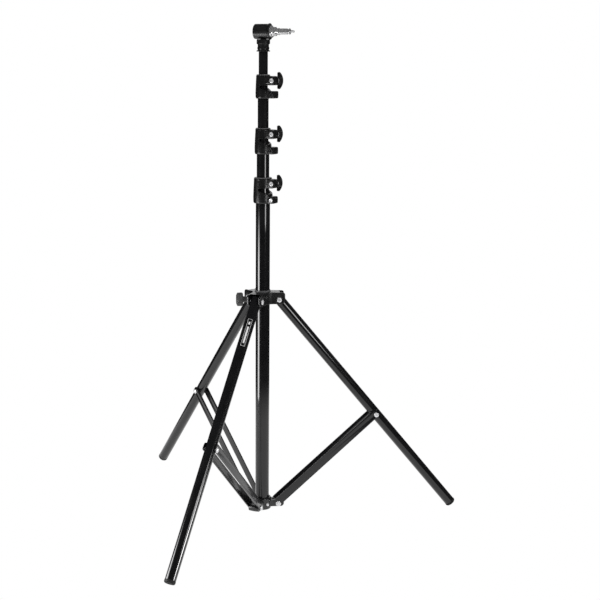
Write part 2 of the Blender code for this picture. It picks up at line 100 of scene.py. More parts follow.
low_pivot = JOINT["leg_fold"]["pos_m"]
mid_pivot = JOINT["leg_1_swing"]["pos_m"]
top_pivot = JOINT["hub_rise"]["pos_m"]
LOWER_R, LOWER_Z = low_pivot[0] / MM, low_pivot[2] / MM
JOINT_R, JOINT_Z = mid_pivot[0] / MM, mid_pivot[2] / MM
PIVOT_R, PIVOT_Z = top_pivot[0] / MM, top_pivot[2] / MM
BRACE_AT = math.hypot(JOINT_R - PIVOT_R, JOINT_Z - PIVOT_Z)
LEG_ANGLE = math.degrees(math.atan2(JOINT_R - PIVOT_R, PIVOT_Z - JOINT_Z))
BRACE_LEN = math.hypot(JOINT_R - LOWER_R, JOINT_Z - LOWER_Z)
BRACE_ANGLE = math.degrees(math.atan2(JOINT_R - LOWER_R, JOINT_Z - LOWER_Z))
LEG_R, LEG_LEN = 15.0, 825.0
LEG_AZ = (0.0, 120.0, -120.0)
BAR_IN, BAR_OUT, BAR_T, BAR_FACE = 16.2, 7.3, 3.0, 15.8
HEAD_AXIS_Z = (lo("spigot", 2) + hi("spigot", 2)) / 2
HEAD_AZ = -26.0
FLOOR_Z = CAD_LO.z / MM

# ---------------------------------------------------------------- matrices
def rot_z(d): return Matrix.Rotation(math.radians(d), 4, "Z")
def rot_y(d): return Matrix.Rotation(math.radians(d), 4, "Y")
def rot_x(d): return Matrix.Rotation(math.radians(d), 4, "X")
def move(x, y, z): return Matrix.Translation((x * MM, y * MM, z * MM))

IDENT = Matrix.Identity(4)
ALONG_Y, ALONG_X = rot_x(-90), rot_y(90)
XZ = Matrix(((1, 0, 0, 0), (0, 0, -1, 0), (0, 1, 0, 0), (0, 0, 0, 1)))


# ---------------------------------------------------------------- mesh tools
def new_object(name, me, matrix=IDENT, coll=None):
    o = bpy.data.objects.new(name, me)
    (coll or SCENE.collection).objects.link(o)
    o.matrix_world = matrix
    return o


def fillet(points, closed=False, steps=4):
    """Polyline (x, y[, radius]) with its corners rounded."""
    out = []
    n = len(points)
    for i, p in enumerate(points):
        r = p[2] if len(p) > 2 else 0.0
        if r <= 0 or (not closed and i in (0, n - 1)):
            out.append((p[0], p[1]))
            continue
        c = Vector(p[:2])
        a, b = Vector(points[i - 1][:2]) - c, Vector(points[(i + 1) % n][:2]) - c
        la, lb = a.length, b.length
        if la < 1e-6 or lb < 1e-6:
            out.append((p[0], p[1]))
            continue
        a, b = a / la, b / lb
        half = math.acos(max(-1.0, min(1.0, a.dot(b)))) / 2
        if half > 1.55:
            out.append((p[0], p[1]))
            continue
        d = min(r / math.tan(half), 0.49 * la, 0.49 * lb)
        r = d * math.tan(half)
        m = c + (a + b).normalized() * (r / math.sin(half))
        s, e = c + a * d - m, c + b * d - m
        a0 = math.atan2(s.y, s.x)
        turn = (math.atan2(e.y, e.x) - a0 + math.pi) % math.tau - math.pi
        for k in range(steps + 1):
            t = a0 + turn * k / steps
            out.append((m.x + r * math.cos(t), m.y + r * math.sin(t)))
    return out


def lathe(name, profile, matrix=IDENT, seg=72, closed=False, steps=4, warp=None, coll=None):
    """Turned solid from (radius, height[, corner radius]); warp(angle, r, z) may change the radius."""
    pts = fillet(profile, closed, steps)
    bm = bmesh.new()
    rings = []
    for r, z in pts:
        if r < 1e-6:
            rings.append([bm.verts.new((0, 0, z * MM))])
        else:
            ring = []
            for k in range(seg):
                a = math.tau * k / seg
                q = warp(a, r, z) if warp else r
                ring.append(bm.verts.new((q * MM * math.cos(a), q * MM * math.sin(a), z * MM)))
            rings.append(ring)
    pairs = list(zip(rings, rings[1:])) + ([(rings[-1], rings[0])] if closed else [])
    for a, b in pairs:
        if len(a) == 1 and len(b) == 1:
            continue
        for k in range(seg):
            j = (k + 1) % seg
            if len(a) == 1:
                bm.faces.new((a[0], b[j], b[k]))
            elif len(b) == 1:
                bm.faces.new((a[k], a[j], b[0]))
            else:
                bm.faces.new((a[k], a[j], b[j], b[k]))
    bmesh.ops.recalc_face_normals(bm, faces=bm.faces)
    me = bpy.data.meshes.new(name)
    bm.to_mesh(me)
    bm.free()
    return new_object(name, me, matrix, coll)


def rod(name, r, z0, z1, matrix, seg=40):
    return lathe(name, [(0, z1), (r, z1), (r, z0), (0, z0)], matrix, seg, coll=WORK)


def block(name, a, b, matrix, bevel=0.0):
    bm = bmesh.new()
    bmesh.ops.create_cube(bm, size=1.0)
    for v in bm.verts:
        for k in range(3):
            v.co[k] = (a[k] + (v.co[k] + 0.5) * (b[k] - a[k])) * MM
    if bevel:
        bmesh.ops.bevel(bm, geom=bm.edges[:], offset=bevel * MM, segments=2, affect="EDGES", profile=0.5)
    me = bpy.data.meshes.new(name)
    bm.to_mesh(me)
    bm.free()
    return new_object(name, me, matrix, WORK)


def plate(name, outlines, thick, matrix, coll=None):
    cu = bpy.data.curves.new(name, "CURVE")
    cu.dimensions = "2D"
    cu.fill_mode = "BOTH"
    cu.extrude = thick * MM / 2
    for pts in outlines:
        sp = cu.splines.new("POLY")
        sp.points.add(len(pts) - 1)
        for i, (x, y) in enumerate(pts):
            sp.points[i].co = (x * MM, y * MM, 0.0, 1.0)
        sp.use_cyclic_u = True
    tmp = bpy.data.objects.new(name + "_o", cu)
    WORK.objects.link(tmp)
    bpy.context.view_layer.update()
    me = bpy.data.meshes.new_from_object(tmp.evaluated_get(bpy.context.evaluated_depsgraph_get()))
    bpy.data.objects.remove(tmp, do_unlink=True)
    bm = bmesh.new()
    bm.from_mesh(me)
    bmesh.ops.remove_doubles(bm, verts=bm.verts, dist=0.000002)
    bmesh.ops.recalc_face_normals(bm, faces=bm.faces)
    bm.to_mesh(me)
    bm.free()
    return new_object(name, me, matrix, coll or WORK)


def circle(cx, cy, r, n=32):
    return [(cx + r * math.cos(math.tau * k / n), cy + r * math.sin(math.tau * k / n)) for k in range(n)]


def star(end, half, radius, tip=0.0):
    corners = []
    web = half / math.sin(math.radians(60))
    for az in (0.0, 120.0, 240.0):
        c, s = math.cos(math.radians(az)), math.sin(math.radians(az))
        for x, y in ((end, -half), (end, half)):
            corners.append((x * c - y * s, x * s + y * c, tip))
        t = math.radians(az + 60)
        corners.append((web * math.cos(t), web * math.sin(t), radius))
    return fillet(corners, True, 10)


def bake(obj):
    """Replace an object's modifiers by their result."""
    bpy.context.view_layer.update()
    me = bpy.data.meshes.new_from_object(obj.evaluated_get(bpy.context.evaluated_depsgraph_get()))
    obj.modifiers.clear()
    obj.data = me
    return obj


def solid_state(me):
    """Volume of a mesh in cubic millimetres and its count of open edges."""
    bm = bmesh.new()
    bm.from_mesh(me)
    loose = sum(1 for e in bm.edges if not e.is_manifold)
    volume = bm.calc_volume(signed=True) * 1e9
    bm.free()
    return volume, loose


def boolean(obj, tools, operation="DIFFERENCE"):
    """Boolean one tool at a time; a result that isn't sound is tried again with the tool shifted by microns."""
    for t in tools:
        before, place_now = obj.data, t.matrix_world.copy()
        v0, open0 = solid_state(before)
        best = None
        for attempt in range(7):
            obj.data = before
            t.matrix_world = Matrix.Translation(Vector((0.0037, 0.0053, 0.0041)) * (attempt * MM * (-1) ** attempt)) @ place_now
            m = obj.modifiers.new("B", "BOOLEAN")
            m.operation = operation
            m.solver = "EXACT" if attempt < 6 else "FAST"
            m.object = t
            bake(obj)
            v1, open1 = solid_state(obj.data)
            fits = {"DIFFERENCE": 0.2 * v0 < v1 < 1.0001 * v0, "UNION": v1 > 0.9999 * v0, "INTERSECT": 0.05 * v0 < v1 < 1.0001 * v0}[operation]
            score = (0 if fits else 100000) + open1
            if best is None or score < best[0]:
                best = (score, obj.data)
            if fits and open1 <= open0:
                break
        obj.data = best[1]
        bpy.data.objects.remove(t, do_unlink=True)
    return obj


def cut(obj, *tools): return boolean(obj, tools, "DIFFERENCE")
def join(obj, *tools): return boolean(obj, tools, "UNION")


def cast(obj, voxel, smooth=4, keep=0.4):
    """Moulded or cast form: every edge takes a small radius."""
    m = obj.modifiers.new("Remesh", "REMESH")
    m.mode = "VOXEL"
    m.voxel_size = voxel * MM
    s = obj.modifiers.new("Smooth", "SMOOTH")
    s.factor = 0.5
    s.iterations = smooth
    d = obj.modifiers.new("Decimate", "DECIMATE")
    d.ratio = keep
    bake(obj)
    obj.data.shade_smooth()
    return obj


def edge_round(obj, width, segments=3, angle=35.0):
    b = obj.modifiers.new("Bevel", "BEVEL")
    b.width = width * MM
    b.segments = segments
    b.limit_method = "ANGLE"
    b.angle_limit = math.radians(angle)
    b.harden_normals = False
    return bake(obj)


def place(obj, node, mat, angle=32.0, stands_for=None, flat=False):
    """Give a finished piece its shading, material, body and CAD node."""
    if not flat:
        obj.data.shade_smooth()
        if angle:
            obj.data.set_sharp_from_angle(angle=math.radians(angle))
    obj.data.materials.clear()
    obj.data.materials.append(mat)
    if obj.name in [c.name for c in WORK.objects]:
        WORK.objects.unlink(obj)
        SCENE.collection.objects.link(obj)
    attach(obj, BODY[node])
    for n in (stands_for or [node]):
        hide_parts(n)
    return obj


# ---------------------------------------------------------------- materials
def nodes_of(name):
    m = bpy.data.materials.new(name)
    m.use_nodes = True
    nt = m.node_tree
    return m, nt, nt.nodes["Principled BSDF"]


def noise(nt, coord, scale, detail=3.0, rough=0.55, stretch=None):
    n = nt.nodes.new("ShaderNodeTexNoise")
    n.inputs["Scale"].default_value = scale
    n.inputs["Detail"].default_value = detail
    n.inputs["Roughness"].default_value = rough
    if stretch:
        mp = nt.nodes.new("ShaderNodeMapping")
        mp.inputs["Scale"].default_value = stretch
        nt.links.new(coord, mp.inputs["Vector"])
        coord = mp.outputs["Vector"]
    nt.links.new(coord, n.inputs["Vector"])
    return n.outputs["Fac"]


def ramp(nt, value, a, b, low=0.0, high=1.0):
    r = nt.nodes.new("ShaderNodeMapRange")
    r.interpolation_type = "SMOOTHSTEP"
    r.inputs["From Min"].default_value = a
    r.inputs["From Max"].default_value = b
    r.inputs["To Min"].default_value = low
    r.inputs["To Max"].default_value = high
    nt.links.new(value, r.inputs["Value"])
    return r.outputs["Result"]


def math_node(nt, op, a, b):
    m = nt.nodes.new("ShaderNodeMath")
    m.operation = op
    m.use_clamp = op in ("ADD", "MULTIPLY")
    for i, v in enumerate((a, b)):
        if isinstance(v, (int, float)):
            m.inputs[i].default_value = v
        else:
            nt.links.new(v, m.inputs[i])
    return m.outputs[0]


def mix_color(nt, fac, a, b):
    m = nt.nodes.new("ShaderNodeMix")
    m.data_type = "RGBA"
    if isinstance(fac, (int, float)):
        m.inputs["Factor"].default_value = fac
    else:
        nt.links.new(fac, m.inputs["Factor"])
    for sock, v in ((m.inputs[6], a), (m.inputs[7], b)):
        if isinstance(v, tuple):
            sock.default_value = (*v, 1.0)
        else:
            nt.links.new(v, sock)
    return m.outputs[2]


def bump(nt, height, strength, distance, normal=None):
    b = nt.nodes.new("ShaderNodeBump")
    b.inputs["Strength"].default_value = strength
    b.inputs["Distance"].default_value = distance
    nt.links.new(height, b.inputs["Height"])
    if normal is not None:
        nt.links.new(normal, b.inputs["Normal"])
    return b.outputs["Normal"]


def dust_mask(nt, coord):
    """Sparse specks that settle on upward faces."""
    g = nt.nodes.new("ShaderNodeNewGeometry")
    sep = nt.nodes.new("ShaderNodeSeparateXYZ")
    nt.links.new(g.outputs["Normal"], sep.inputs[0])
    up = ramp(nt, sep.outputs["Z"], 0.1, 0.9)
    specks = ramp(nt, noise(nt, coord, 1400.0, 2.0), 0.68, 0.80)
    patch = ramp(nt, noise(nt, coord, 45.0, 3.0), 0.42, 0.70)
    return math_node(nt, "MULTIPLY", math_node(nt, "MULTIPLY", up, specks), patch)


def wear_mask(nt, coord, a, b):
    g = nt.nodes.new("ShaderNodeNewGeometry")
    p = ramp(nt, g.outputs["Pointiness"], a, b)
    return math_node(nt, "MULTIPLY", p, ramp(nt, noise(nt, coord, 220.0, 4.0, 0.65), 0.42, 0.66))


def gloss_coat(name, color, rough, coat, coat_rough, lengthwise=None):
    """Gloss black stove enamel on tube: faint orange peel, hairline rubs, dust."""
    m, nt, b = nodes_of(name)
    co = nt.nodes.new("ShaderNodeTexCoord").outputs["Object"]
    cloud = noise(nt, co, 14.0, 4.0)
    col = mix_color(nt, ramp(nt, cloud, 0.3, 0.7), tuple(c * 0.8 for c in color), tuple(c * 1.25 for c in color))
    col = mix_color(nt, math_node(nt, "MULTIPLY", dust_mask(nt, co), 0.30), col, (0.16, 0.155, 0.15))
    nt.links.new(col, b.inputs["Base Color"])
    hair = noise(nt, co, 260.0, 4.0, 0.7, stretch=(1.0, 1.0, 9.0))
    rub = ramp(nt, hair, 0.62, 0.74)
    r = math_node(nt, "ADD", ramp(nt, cloud, 0.3, 0.7, rough - 0.03, rough + 0.05), math_node(nt, "MULTIPLY", rub, 0.08))
    nt.links.new(r, b.inputs["Roughness"])
    b.inputs["Coat Weight"].default_value = coat
    cr = math_node(nt, "ADD", math_node(nt, "MULTIPLY", rub, 0.06), ramp(nt, noise(nt, co, 90.0, 2.0), 0.35, 0.7, coat_rough, coat_rough + 0.03))
    nt.links.new(cr, b.inputs["Coat Roughness"])
    peel = noise(nt, co, 520.0, 2.0, 0.5)
    nt.links.new(bump(nt, peel, 0.04, 0.00010), b.inputs["Normal"])
    nt.links.new(bump(nt, peel, 0.012, 0.00008), b.inputs["Coat Normal"])
    b.inputs["Specular IOR Level"].default_value = 0.06
    return m


def cast_coat(name, color, rough):
    """Satin powder coat on a die casting: sand texture and rubbed corners."""
    m, nt, b = nodes_of(name)
    co = nt.nodes.new("ShaderNodeTexCoord").outputs["Object"]
    cloud = noise(nt, co, 30.0, 4.0)
    col = mix_color(nt, ramp(nt, cloud, 0.3, 0.7), tuple(c * 0.75 for c in color), tuple(c * 1.3 for c in color))
    wear = wear_mask(nt, co, 0.56, 0.66)
    col = mix_color(nt, math_node(nt, "MULTIPLY", wear, 0.35), col, (0.11, 0.11, 0.115))
    col = mix_color(nt, math_node(nt, "MULTIPLY", dust_mask(nt, co), 0.35), col, (0.17, 0.165, 0.16))
    nt.links.new(col, b.inputs["Base Color"])
    r = math_node(nt, "SUBTRACT", ramp(nt, cloud, 0.3, 0.7, rough - 0.05, rough + 0.06), math_node(nt, "MULTIPLY", wear, 0.10))
    nt.links.new(r, b.inputs["Roughness"])
    sand = noise(nt, co, 1100.0, 3.0, 0.6)
    swell = noise(nt, co, 70.0, 2.0, 0.5)
    n1 = bump(nt, sand, 0.16, 0.00010)
    nt.links.new(bump(nt, swell, 0.10, 0.0006, n1), b.inputs["Normal"])
    b.inputs["Coat Weight"].default_value = 0.34
    b.inputs["Coat Roughness"].default_value = 0.20
    return m


def moulded(name, color, rough, grain=1500.0, depth=0.16):
    """Glass-filled nylon moulding: fine spark-eroded grain, polished high spots."""
    m, nt, b = nodes_of(name)
    co = nt.nodes.new("ShaderNodeTexCoord").outputs["Object"]
    cloud = noise(nt, co, 40.0, 4.0)
    col = mix_color(nt, ramp(nt, cloud, 0.3, 0.7), tuple(c * 0.8 for c in color), tuple(c * 1.25 for c in color))
    wear = wear_mask(nt, co, 0.55, 0.68)
    col = mix_color(nt, math_node(nt, "MULTIPLY", wear, 0.22), col, (0.07, 0.07, 0.07))
    col = mix_color(nt, math_node(nt, "MULTIPLY", dust_mask(nt, co), 0.35), col, (0.17, 0.165, 0.16))
    nt.links.new(col, b.inputs["Base Color"])
    v = nt.nodes.new("ShaderNodeTexVoronoi")
    v.inputs["Scale"].default_value = grain
    nt.links.new(co, v.inputs["Vector"])
    g = math_node(nt, "MULTIPLY", v.outputs["Distance"], noise(nt, co, grain * 0.5, 2.0))
    nt.links.new(bump(nt, g, depth, 0.00010), b.inputs["Normal"])
    r = math_node(nt, "SUBTRACT", ramp(nt, cloud, 0.3, 0.7, rough - 0.04, rough + 0.07), math_node(nt, "MULTIPLY", wear, 0.12))
    nt.links.new(r, b.inputs["Roughness"])
    return m


def rubber(name, color):
    m, nt, b = nodes_of(name)
    co = nt.nodes.new("ShaderNodeTexCoord").outputs["Object"]
    cloud = noise(nt, co, 60.0, 5.0, 0.6)
    bloom = ramp(nt, cloud, 0.45, 0.75)
    col = mix_color(nt, math_node(nt, "MULTIPLY", bloom, 0.35), color, tuple(c * 2.6 for c in color))
    scuff = ramp(nt, noise(nt, co, 420.0, 4.0, 0.7), 0.60, 0.75)
    col = mix_color(nt, math_node(nt, "MULTIPLY", scuff, 0.18), col, (0.09, 0.088, 0.085))
    nt.links.new(col, b.inputs["Base Color"])
    nt.links.new(ramp(nt, cloud, 0.3, 0.7, 0.62, 0.82), b.inputs["Roughness"])
    nt.links.new(bump(nt, noise(nt, co, 900.0, 4.0, 0.65), 0.25, 0.00015), b.inputs["Normal"])
    b.inputs["Specular IOR Level"].default_value = 0.35
    return m


def plated(name, color, rough, turned_marks=2600.0, metal=0.5):
    """Bright plated steel: fine turning marks and slight clouding."""
    m, nt, b = nodes_of(name)
    co = nt.nodes.new("ShaderNodeTexCoord").outputs["Object"]
    cloud = noise(nt, co, 160.0, 5.0, 0.6)
    col = mix_color(nt, ramp(nt, cloud, 0.35, 0.7), tuple(c * 0.86 for c in color), color)
    nt.links.new(col, b.inputs["Base Color"])
    b.inputs["Metallic"].default_value = metal
    w = nt.nodes.new("ShaderNodeTexNoise")
    w.inputs["Scale"].default_value = turned_marks
    w.inputs["Detail"].default_value = 2.0
    nt.links.new(co, w.inputs["Vector"])
    r = math_node(nt, "ADD", ramp(nt, cloud, 0.3, 0.75, rough - 0.03, rough + 0.08), math_node(nt, "MULTIPLY", ramp(nt, w.outputs["Fac"], 0.5, 0.8), 0.08))
    nt.links.new(r, b.inputs["Roughness"])
    nt.links.new(bump(nt, w.outputs["Fac"], 0.08, 0.00003), b.inputs["Normal"])
    b.inputs["Anisotropic"].default_value = 0.35
    return m


def plain_print(name, color):
    m, nt, b = nodes_of(name)
    co = nt.nodes.new("ShaderNodeTexCoord").outputs["Object"]
    speck = noise(nt, co, 700.0, 4.0, 0.7)
    col = mix_color(nt, ramp(nt, speck, 0.62, 0.78), color, tuple(c * 0.45 for c in color))
    nt.links.new(col, b.inputs["Base Color"])
    nt.links.new(ramp(nt, speck, 0.3, 0.7, 0.38, 0.52), b.inputs["Roughness"])
    return m


TUBE = gloss_coat("tube_gloss_black", (0.0055, 0.0055, 0.006), 0.30, 1.0, 0.03)
BAR = gloss_coat("bar_gloss_black", (0.0075, 0.0075, 0.008), 0.30, 0.9, 0.09)
CAST = cast_coat("casting_satin_black", (0.0070, 0.0070, 0.0074), 0.32)
MOULD = moulded("moulding_satin_black", (0.0065, 0.0065, 0.0067), 0.28, 1500.0, 0.09)
KNOB = moulded("knob_satin_black", (0.010, 0.010, 0.0102), 0.36, 1100.0, 0.22)
GREY_KNOB = moulded("knob_charcoal", (0.050, 0.050, 0.050), 0.42, 1100.0, 0.22)
# Nylon liner material, part real grey nylon and part painted highlight: its tone (0.085) is lifted above the black
# mouldings to stand in for the bright specular line on the collar liner lips. The hub liner and brake pad share the
# same lift.
NYLON_LIFTED_FOR_PAINTED_HIGHLIGHT = moulded("sleeve_nylon_grey_with_painted_highlight", (0.085, 0.085, 0.087), 0.34, 2200.0, 0.08)
FOOT = rubber("foot_rubber", (0.010, 0.010, 0.010))
ZINC = plated("zinc_bright", (0.84, 0.84, 0.85), 0.28)
STEEL = plated("steel_dark_core", (0.30, 0.30, 0.31), 0.30)
DARK_ZINC = plated("zinc_blackened", (0.035, 0.035, 0.037), 0.34)
SPIGOT = plated("spigot_nickel", (0.90, 0.90, 0.91), 0.15, 3400.0, 0.86)
PRINT = plain_print("label_print", (0.60, 0.60, 0.60))

for node, obj in frame["nodes"].items():
    mat = {"black_tube": TUBE, "black_casting": CAST, "black_plastic": MOULD, "rubber": FOOT, "zinc": ZINC, "nylon": NYLON_LIFTED_FOR_PAINTED_HIGHLIGHT}[SLOT[node]]
    obj.data.materials.clear()
    obj.data.materials.append(mat)
    for s in obj.material_slots:
        s.material = mat


# ---------------------------------------------------------------- fasteners
def hex_outline(across, n=6, phase=0.0):
    r = across / math.sqrt(3)
    return [(r * math.cos(math.tau * k / n + phase), r * math.sin(math.tau * k / n + phase)) for k in range(n)]


def button_head(name, matrix, shank_r, lo_y, hi_y, head_r, head_y, far_y, socket=4.0):
    """Button-head screw: shank from lo_y to hi_y, head standing on head_y towards far_y (signed)."""
    s = 1.0 if far_y > head_y else -1.0
    h = abs(far_y - head_y)
    prof = [(0, h), (head_r * 0.42, h * 0.985, 0.6), (head_r * 0.86, h * 0.60, 3.0), (head_r, h * 0.18, 0.5), (head_r, 0, 0.25), (0, 0)]
    m = matrix @ move(0, 0, head_y) @ (IDENT if s > 0 else rot_x(180))
    head = lathe(name, prof, m, 56, steps=5)
    sock = plate(name + "_sock", [hex_outline(socket)], 2.2 * h * 0.62, m @ move(0, 0, h), WORK)
    cut(head, sock)
    shank = rod(name + "_shank", shank_r, lo_y, hi_y, matrix, 36)
    join(head, shank)
    return head


def hex_nut(name, matrix, across, y0, y1, dome=True):
    """Lock nut between y0 and y1 (signed), with its domed collar on the far side."""
    s = 1.0 if y1 > y0 else -1.0
    h = abs(y1 - y0)
    m = matrix @ move(0, 0, y0) @ (IDENT if s > 0 else rot_x(180))
    nut = plate(name, [hex_outline(across)], h * 0.68, m @ move(0, 0, h * 0.34), WORK)
    env = lathe(name + "_env", [(0, h * 0.70), (across * 0.505, h * 0.70, 0.2), (across * 0.60, h * 0.58, 0.2), (across * 0.60, h * 0.10, 0.2), (across * 0.53, -0.01, 0.2), (0, -0.01)], m, 48, coll=WORK)
    boolean(nut, [env], "INTERSECT")
    collar = lathe(name + "_collar", [(0, h * 0.86), (across * 0.30, h * 0.90, 0.2), (across * 0.40, h, 0.5), (across * 0.46, h * 0.74, 0.5), (across * 0.46, h * 0.5), (0, h * 0.5)], m, 48, coll=WORK)
    join(nut, collar)
    return edge_round(nut, 0.18, 2, 40)


def through_bolt(name, matrix, side, shank_r, head_r, inner, outer, across):
    """Screw with its head on one side and a lock nut on the other."""
    a, b = (inner * side, outer * side)
    bolt = button_head(name, matrix, shank_r, -outer + 0.6, outer - 0.6, head_r, a, b, socket=head_r * 0.62)
    nut = hex_nut(name + "_nut", matrix, across, -a, -b)
    join(bolt, nut)
    return bolt


# ---------------------------------------------------------------- column tubes
def tube(name, ro, wall, z0, z1, matrix=IDENT, seg=112, holes=()):
    ri = ro - wall
    zs = sorted(set([z0 + 0.8, z1 - 0.8] + [h + d for h, _, _ in holes for d in (-14, 14) if z0 + 2 < h + d < z1 - 2]))
    prof = [(ro, z1, 0.5)] + [(ro, z) for z in reversed(zs)] + [(ro, z0, 0.5), (ri, z0, 0.35)] + [(ri, z) for z in zs] + [(ri, z1, 0.35)]
    t = lathe(name, prof, matrix, seg, closed=True, steps=4)
    for h, x, r in holes:
        cut(t, rod(name + "_hole", r, -40, 40, matrix @ move(x, 0, h) @ ALONG_Y, 48))
    return t


t = tube("column_base_tube", TUBE_R[0], WALL, lo("base_tube", 2), hi("base_tube", 2))
place(t, "base_tube", TUBE)
for i in (1, 2, 3):
    n = "riser_%d_tube" % i
    place(tube("column_riser_tube_%d" % i, TUBE_R[i], WALL, lo(n, 2), hi(n, 2)), n, TUBE)

plug = lathe("column_base_plug", [(0, 20), (18.2, 20, 0.6), (18.2, 2.7, 0.2), (19.7, 2.7, 0.3), (19.7, 0.0, 0.8), (15.0, 0.0, 0.3), (14.4, 1.0, 0.3), (9.4, 1.0, 0.3), (8.8, 0.0, 0.3), (3.2, 0.0, 0.3), (2.8, 1.6, 0.3), (0, 1.6)], IDENT, 96)
place(plug, "base_plug", MOULD)

# ---------------------------------------------------------------- collars
for i in range(3):
    n = i + 1
    h, rl, rt = COLLAR_H[i], COLLAR_R_LOW[i], COLLAR_R_TOP[i]
    low, up = TUBE_R[i], TUBE_R[i + 1]
    lin = up + 1.9
    bl, bu = low + 0.3, lin + 0.3
    at = move(0, 0, COLLAR_Z[i]) @ rot_z(COLLAR_AZ)
    zb = h - 14.2
    zf = 10.4
    zn = h - 26.5
    body = lathe("collar_%d_shell" % n, [
        (rt - 0.2, h, 0.7), (rt + 0.3, h - 2.6, 0.5), (rt + 0.1, h - 4.2, 0.5), (0.5 * rt + 0.5 * rl, h * 0.66, 6), (rl, h * 0.25, 8), (rl - 0.3, 4.0, 1.5), (rl - 2.2, 0, 1.0),
        (bl, 0, 0.4), (bl, 21.5), (bu, 21.5), (bu, h, 0.3)], at, 96, closed=True)
    lug_a = plate("lug_a", [fillet([(bu + 2, zn, 0), (LUG_END, zn, 6.5), (LUG_END, h - 1.6, 8.5), (bu + 2, h - 1.6, 0)], True, 8)], 2 * LUG_HALF, at @ XZ)
    lug_b = plate("lug_b", [fillet([(bl + 2, 0.8, 0), (LUG_END, 0.8, 4.0), (LUG_END, 20.6, 4.0), (bl + 2, 20.6, 0)], True, 8)], 2 * LUG_HALF, at @ XZ)
    web_a = plate("web_a", [fillet([(rt * 0.55, h - 22.0, 0), (LUG_X + 1.5, h - 20.5, 4), (LUG_X + 1.5, h - 6.5, 4), (rt * 0.55, h - 5.0, 0)], True, 6)], 2 * LUG_HALF + 2.2, at @ XZ)
    boss_a = rod("boss_a", 8.9, -LUG_HALF - 1.7, LUG_HALF - 1.0, at @ move(LUG_X, 0, zb) @ ALONG_Y, 48)
    boss_b = rod("boss_b", 7.7, -LUG_HALF - 1.5, LUG_HALF + 0.2, at @ move(LUG_X, 0, zf) @ ALONG_Y, 48)
    join(body, lug_a, lug_b, web_a, boss_a, boss_b)
    notch = plate("notch", [fillet([(0.5, zn - 6.5, 3.2), (14.0, zn - 13.0, 16), (LUG_END, 20.6, 4), (60.0, 13.4, 0), (60.0, zn, 0), (0.5, zn, 2.2)], True, 8)], 80.0, at @ XZ)
    slit = block("slit", (5, -0.8, -5), (60, 0.8, h + 5), at)
    sleeve = lathe("bore", [(bu, h + 5), (bu, 21.5), (bl, 21.5), (bl, -5), (0, -5), (0, h + 5)], at, 96, coll=WORK)
    head_a = rod("head_a", 7.3, -40, -LUG_HALF - 0.1, at @ move(LUG_X, 0, zb) @ ALONG_Y, 40)
    head_b = rod("head_b", 6.3, -40, -LUG_HALF - 0.1, at @ move(LUG_X, 0, zf) @ ALONG_Y, 40)
    hole_a = rod("hole_a", 4.3, -40, 40, at @ move(LUG_X, 0, zb) @ ALONG_Y, 32)
    hole_b = rod("hole_b", 3.3, -40, 40, at @ move(LUG_X, 0, zf) @ ALONG_Y, 32)
    cut(body, notch, slit, sleeve, head_a, head_b, hole_a, hole_b)
    cast(body, 0.62, 4, 0.22)
    place(body, "collar_%d_body" % n, MOULD, angle=None)

    liner = lathe("collar_%d_liner_lip" % n, [
        (up + 0.35, h + 2.3, 0.3), (up + 0.35, zn + 1.0), (lin, zn + 1.0), (lin, h + 0.2), (rt - 0.5, h + 0.25, 0.3), (rt - 0.6, h + 1.2, 0.8), (rt - 2.2, h + 2.4, 0.8)],
        at, 96, closed=True)
    cut(liner, block("liner_slit", (5, -0.6, zn - 5), (60, 0.6, h + 5), at))
    place(liner, "collar_%d_liner" % n, NYLON_LIFTED_FOR_PAINTED_HIGHLIGHT)

    ax = at @ move(LUG_X, 0, zb) @ ALONG_Y
    bolt = button_head("collar_%d_clamp_screw" % n, ax, 4.0, -12.4, 26.5, 6.7, -12.3, -16.8, socket=4.6)
    place(bolt, "collar_%d_clamp_bolt" % n, ZINC)
    w = lathe("collar_%d_clamp_washer" % n, [(8.5, 13.5, 0.25), (8.5, 12.3, 0.25), (4.5, 12.3, 0.1), (4.5, 13.5, 0.1)], ax, 48, closed=True)
    place(w, "collar_%d_washer" % n, ZINC)

    def flute(a, r, z):
        if r < 10.5 or z < 15.4 or z > 29.6:
            return r
        return r - 0.42 * max(0.0, math.cos(16 * a)) ** 2

    knob = lathe("knob_t", [(0, 31.2), (9.6, 31.2, 1.0), (11.4, 29.6, 0.8), (11.4, 15.0, 0.8), (10.2, 13.8, 0.4), (4.6, 13.8), (4.6, 27.5), (0, 27.5)], ax, 128, warp=flute)
    knob.name = "t_knob_grip_%d" % n
    pts = []
    tips, steps = 23.2, 28
    for k in range(steps + 1):
        q = -1 + 2 * k / steps
        pts.append((37.4 - 10.0 * q * q, tips * q))
    for k in range(steps + 1):
        q = 1 - 2 * k / steps
        pts.append((29.6 - 7.0 * q * q, (tips - 1.6) * q))
    wm = ax @ Matrix(((0, 0, 1, 0), (0, 1, 0, 0), (-1, 0, 0, 0), (0, 0, 0, 1))) @ Matrix(((-1, 0, 0, 0), (0, 1, 0, 0), (0, 0, -1, 0), (0, 0, 0, 1)))
    wing = plate("wing", [pts], 16.0, wm)
    leaf = [(7.4 * math.cos(math.tau * j / 48), 24.2 * math.sin(math.tau * j / 48)) for j in range(48)]
    boolean(wing, [plate("leaf", [leaf], 60.0, ax @ move(0, 0, 30))], "INTERSECT")
    rib = plate("wing_rib", [fillet([(24.0, -15.0, 2), (31.6, -12.0, 4), (31.6, 12.0, 4), (24.0, 15.0, 2)], True, 6)], 5.0, wm)
    join(knob, wing, rib)
    cast(knob, 0.50, 4, 0.28)
    place(knob, "t_knob_%d" % n, KNOB, angle=None)

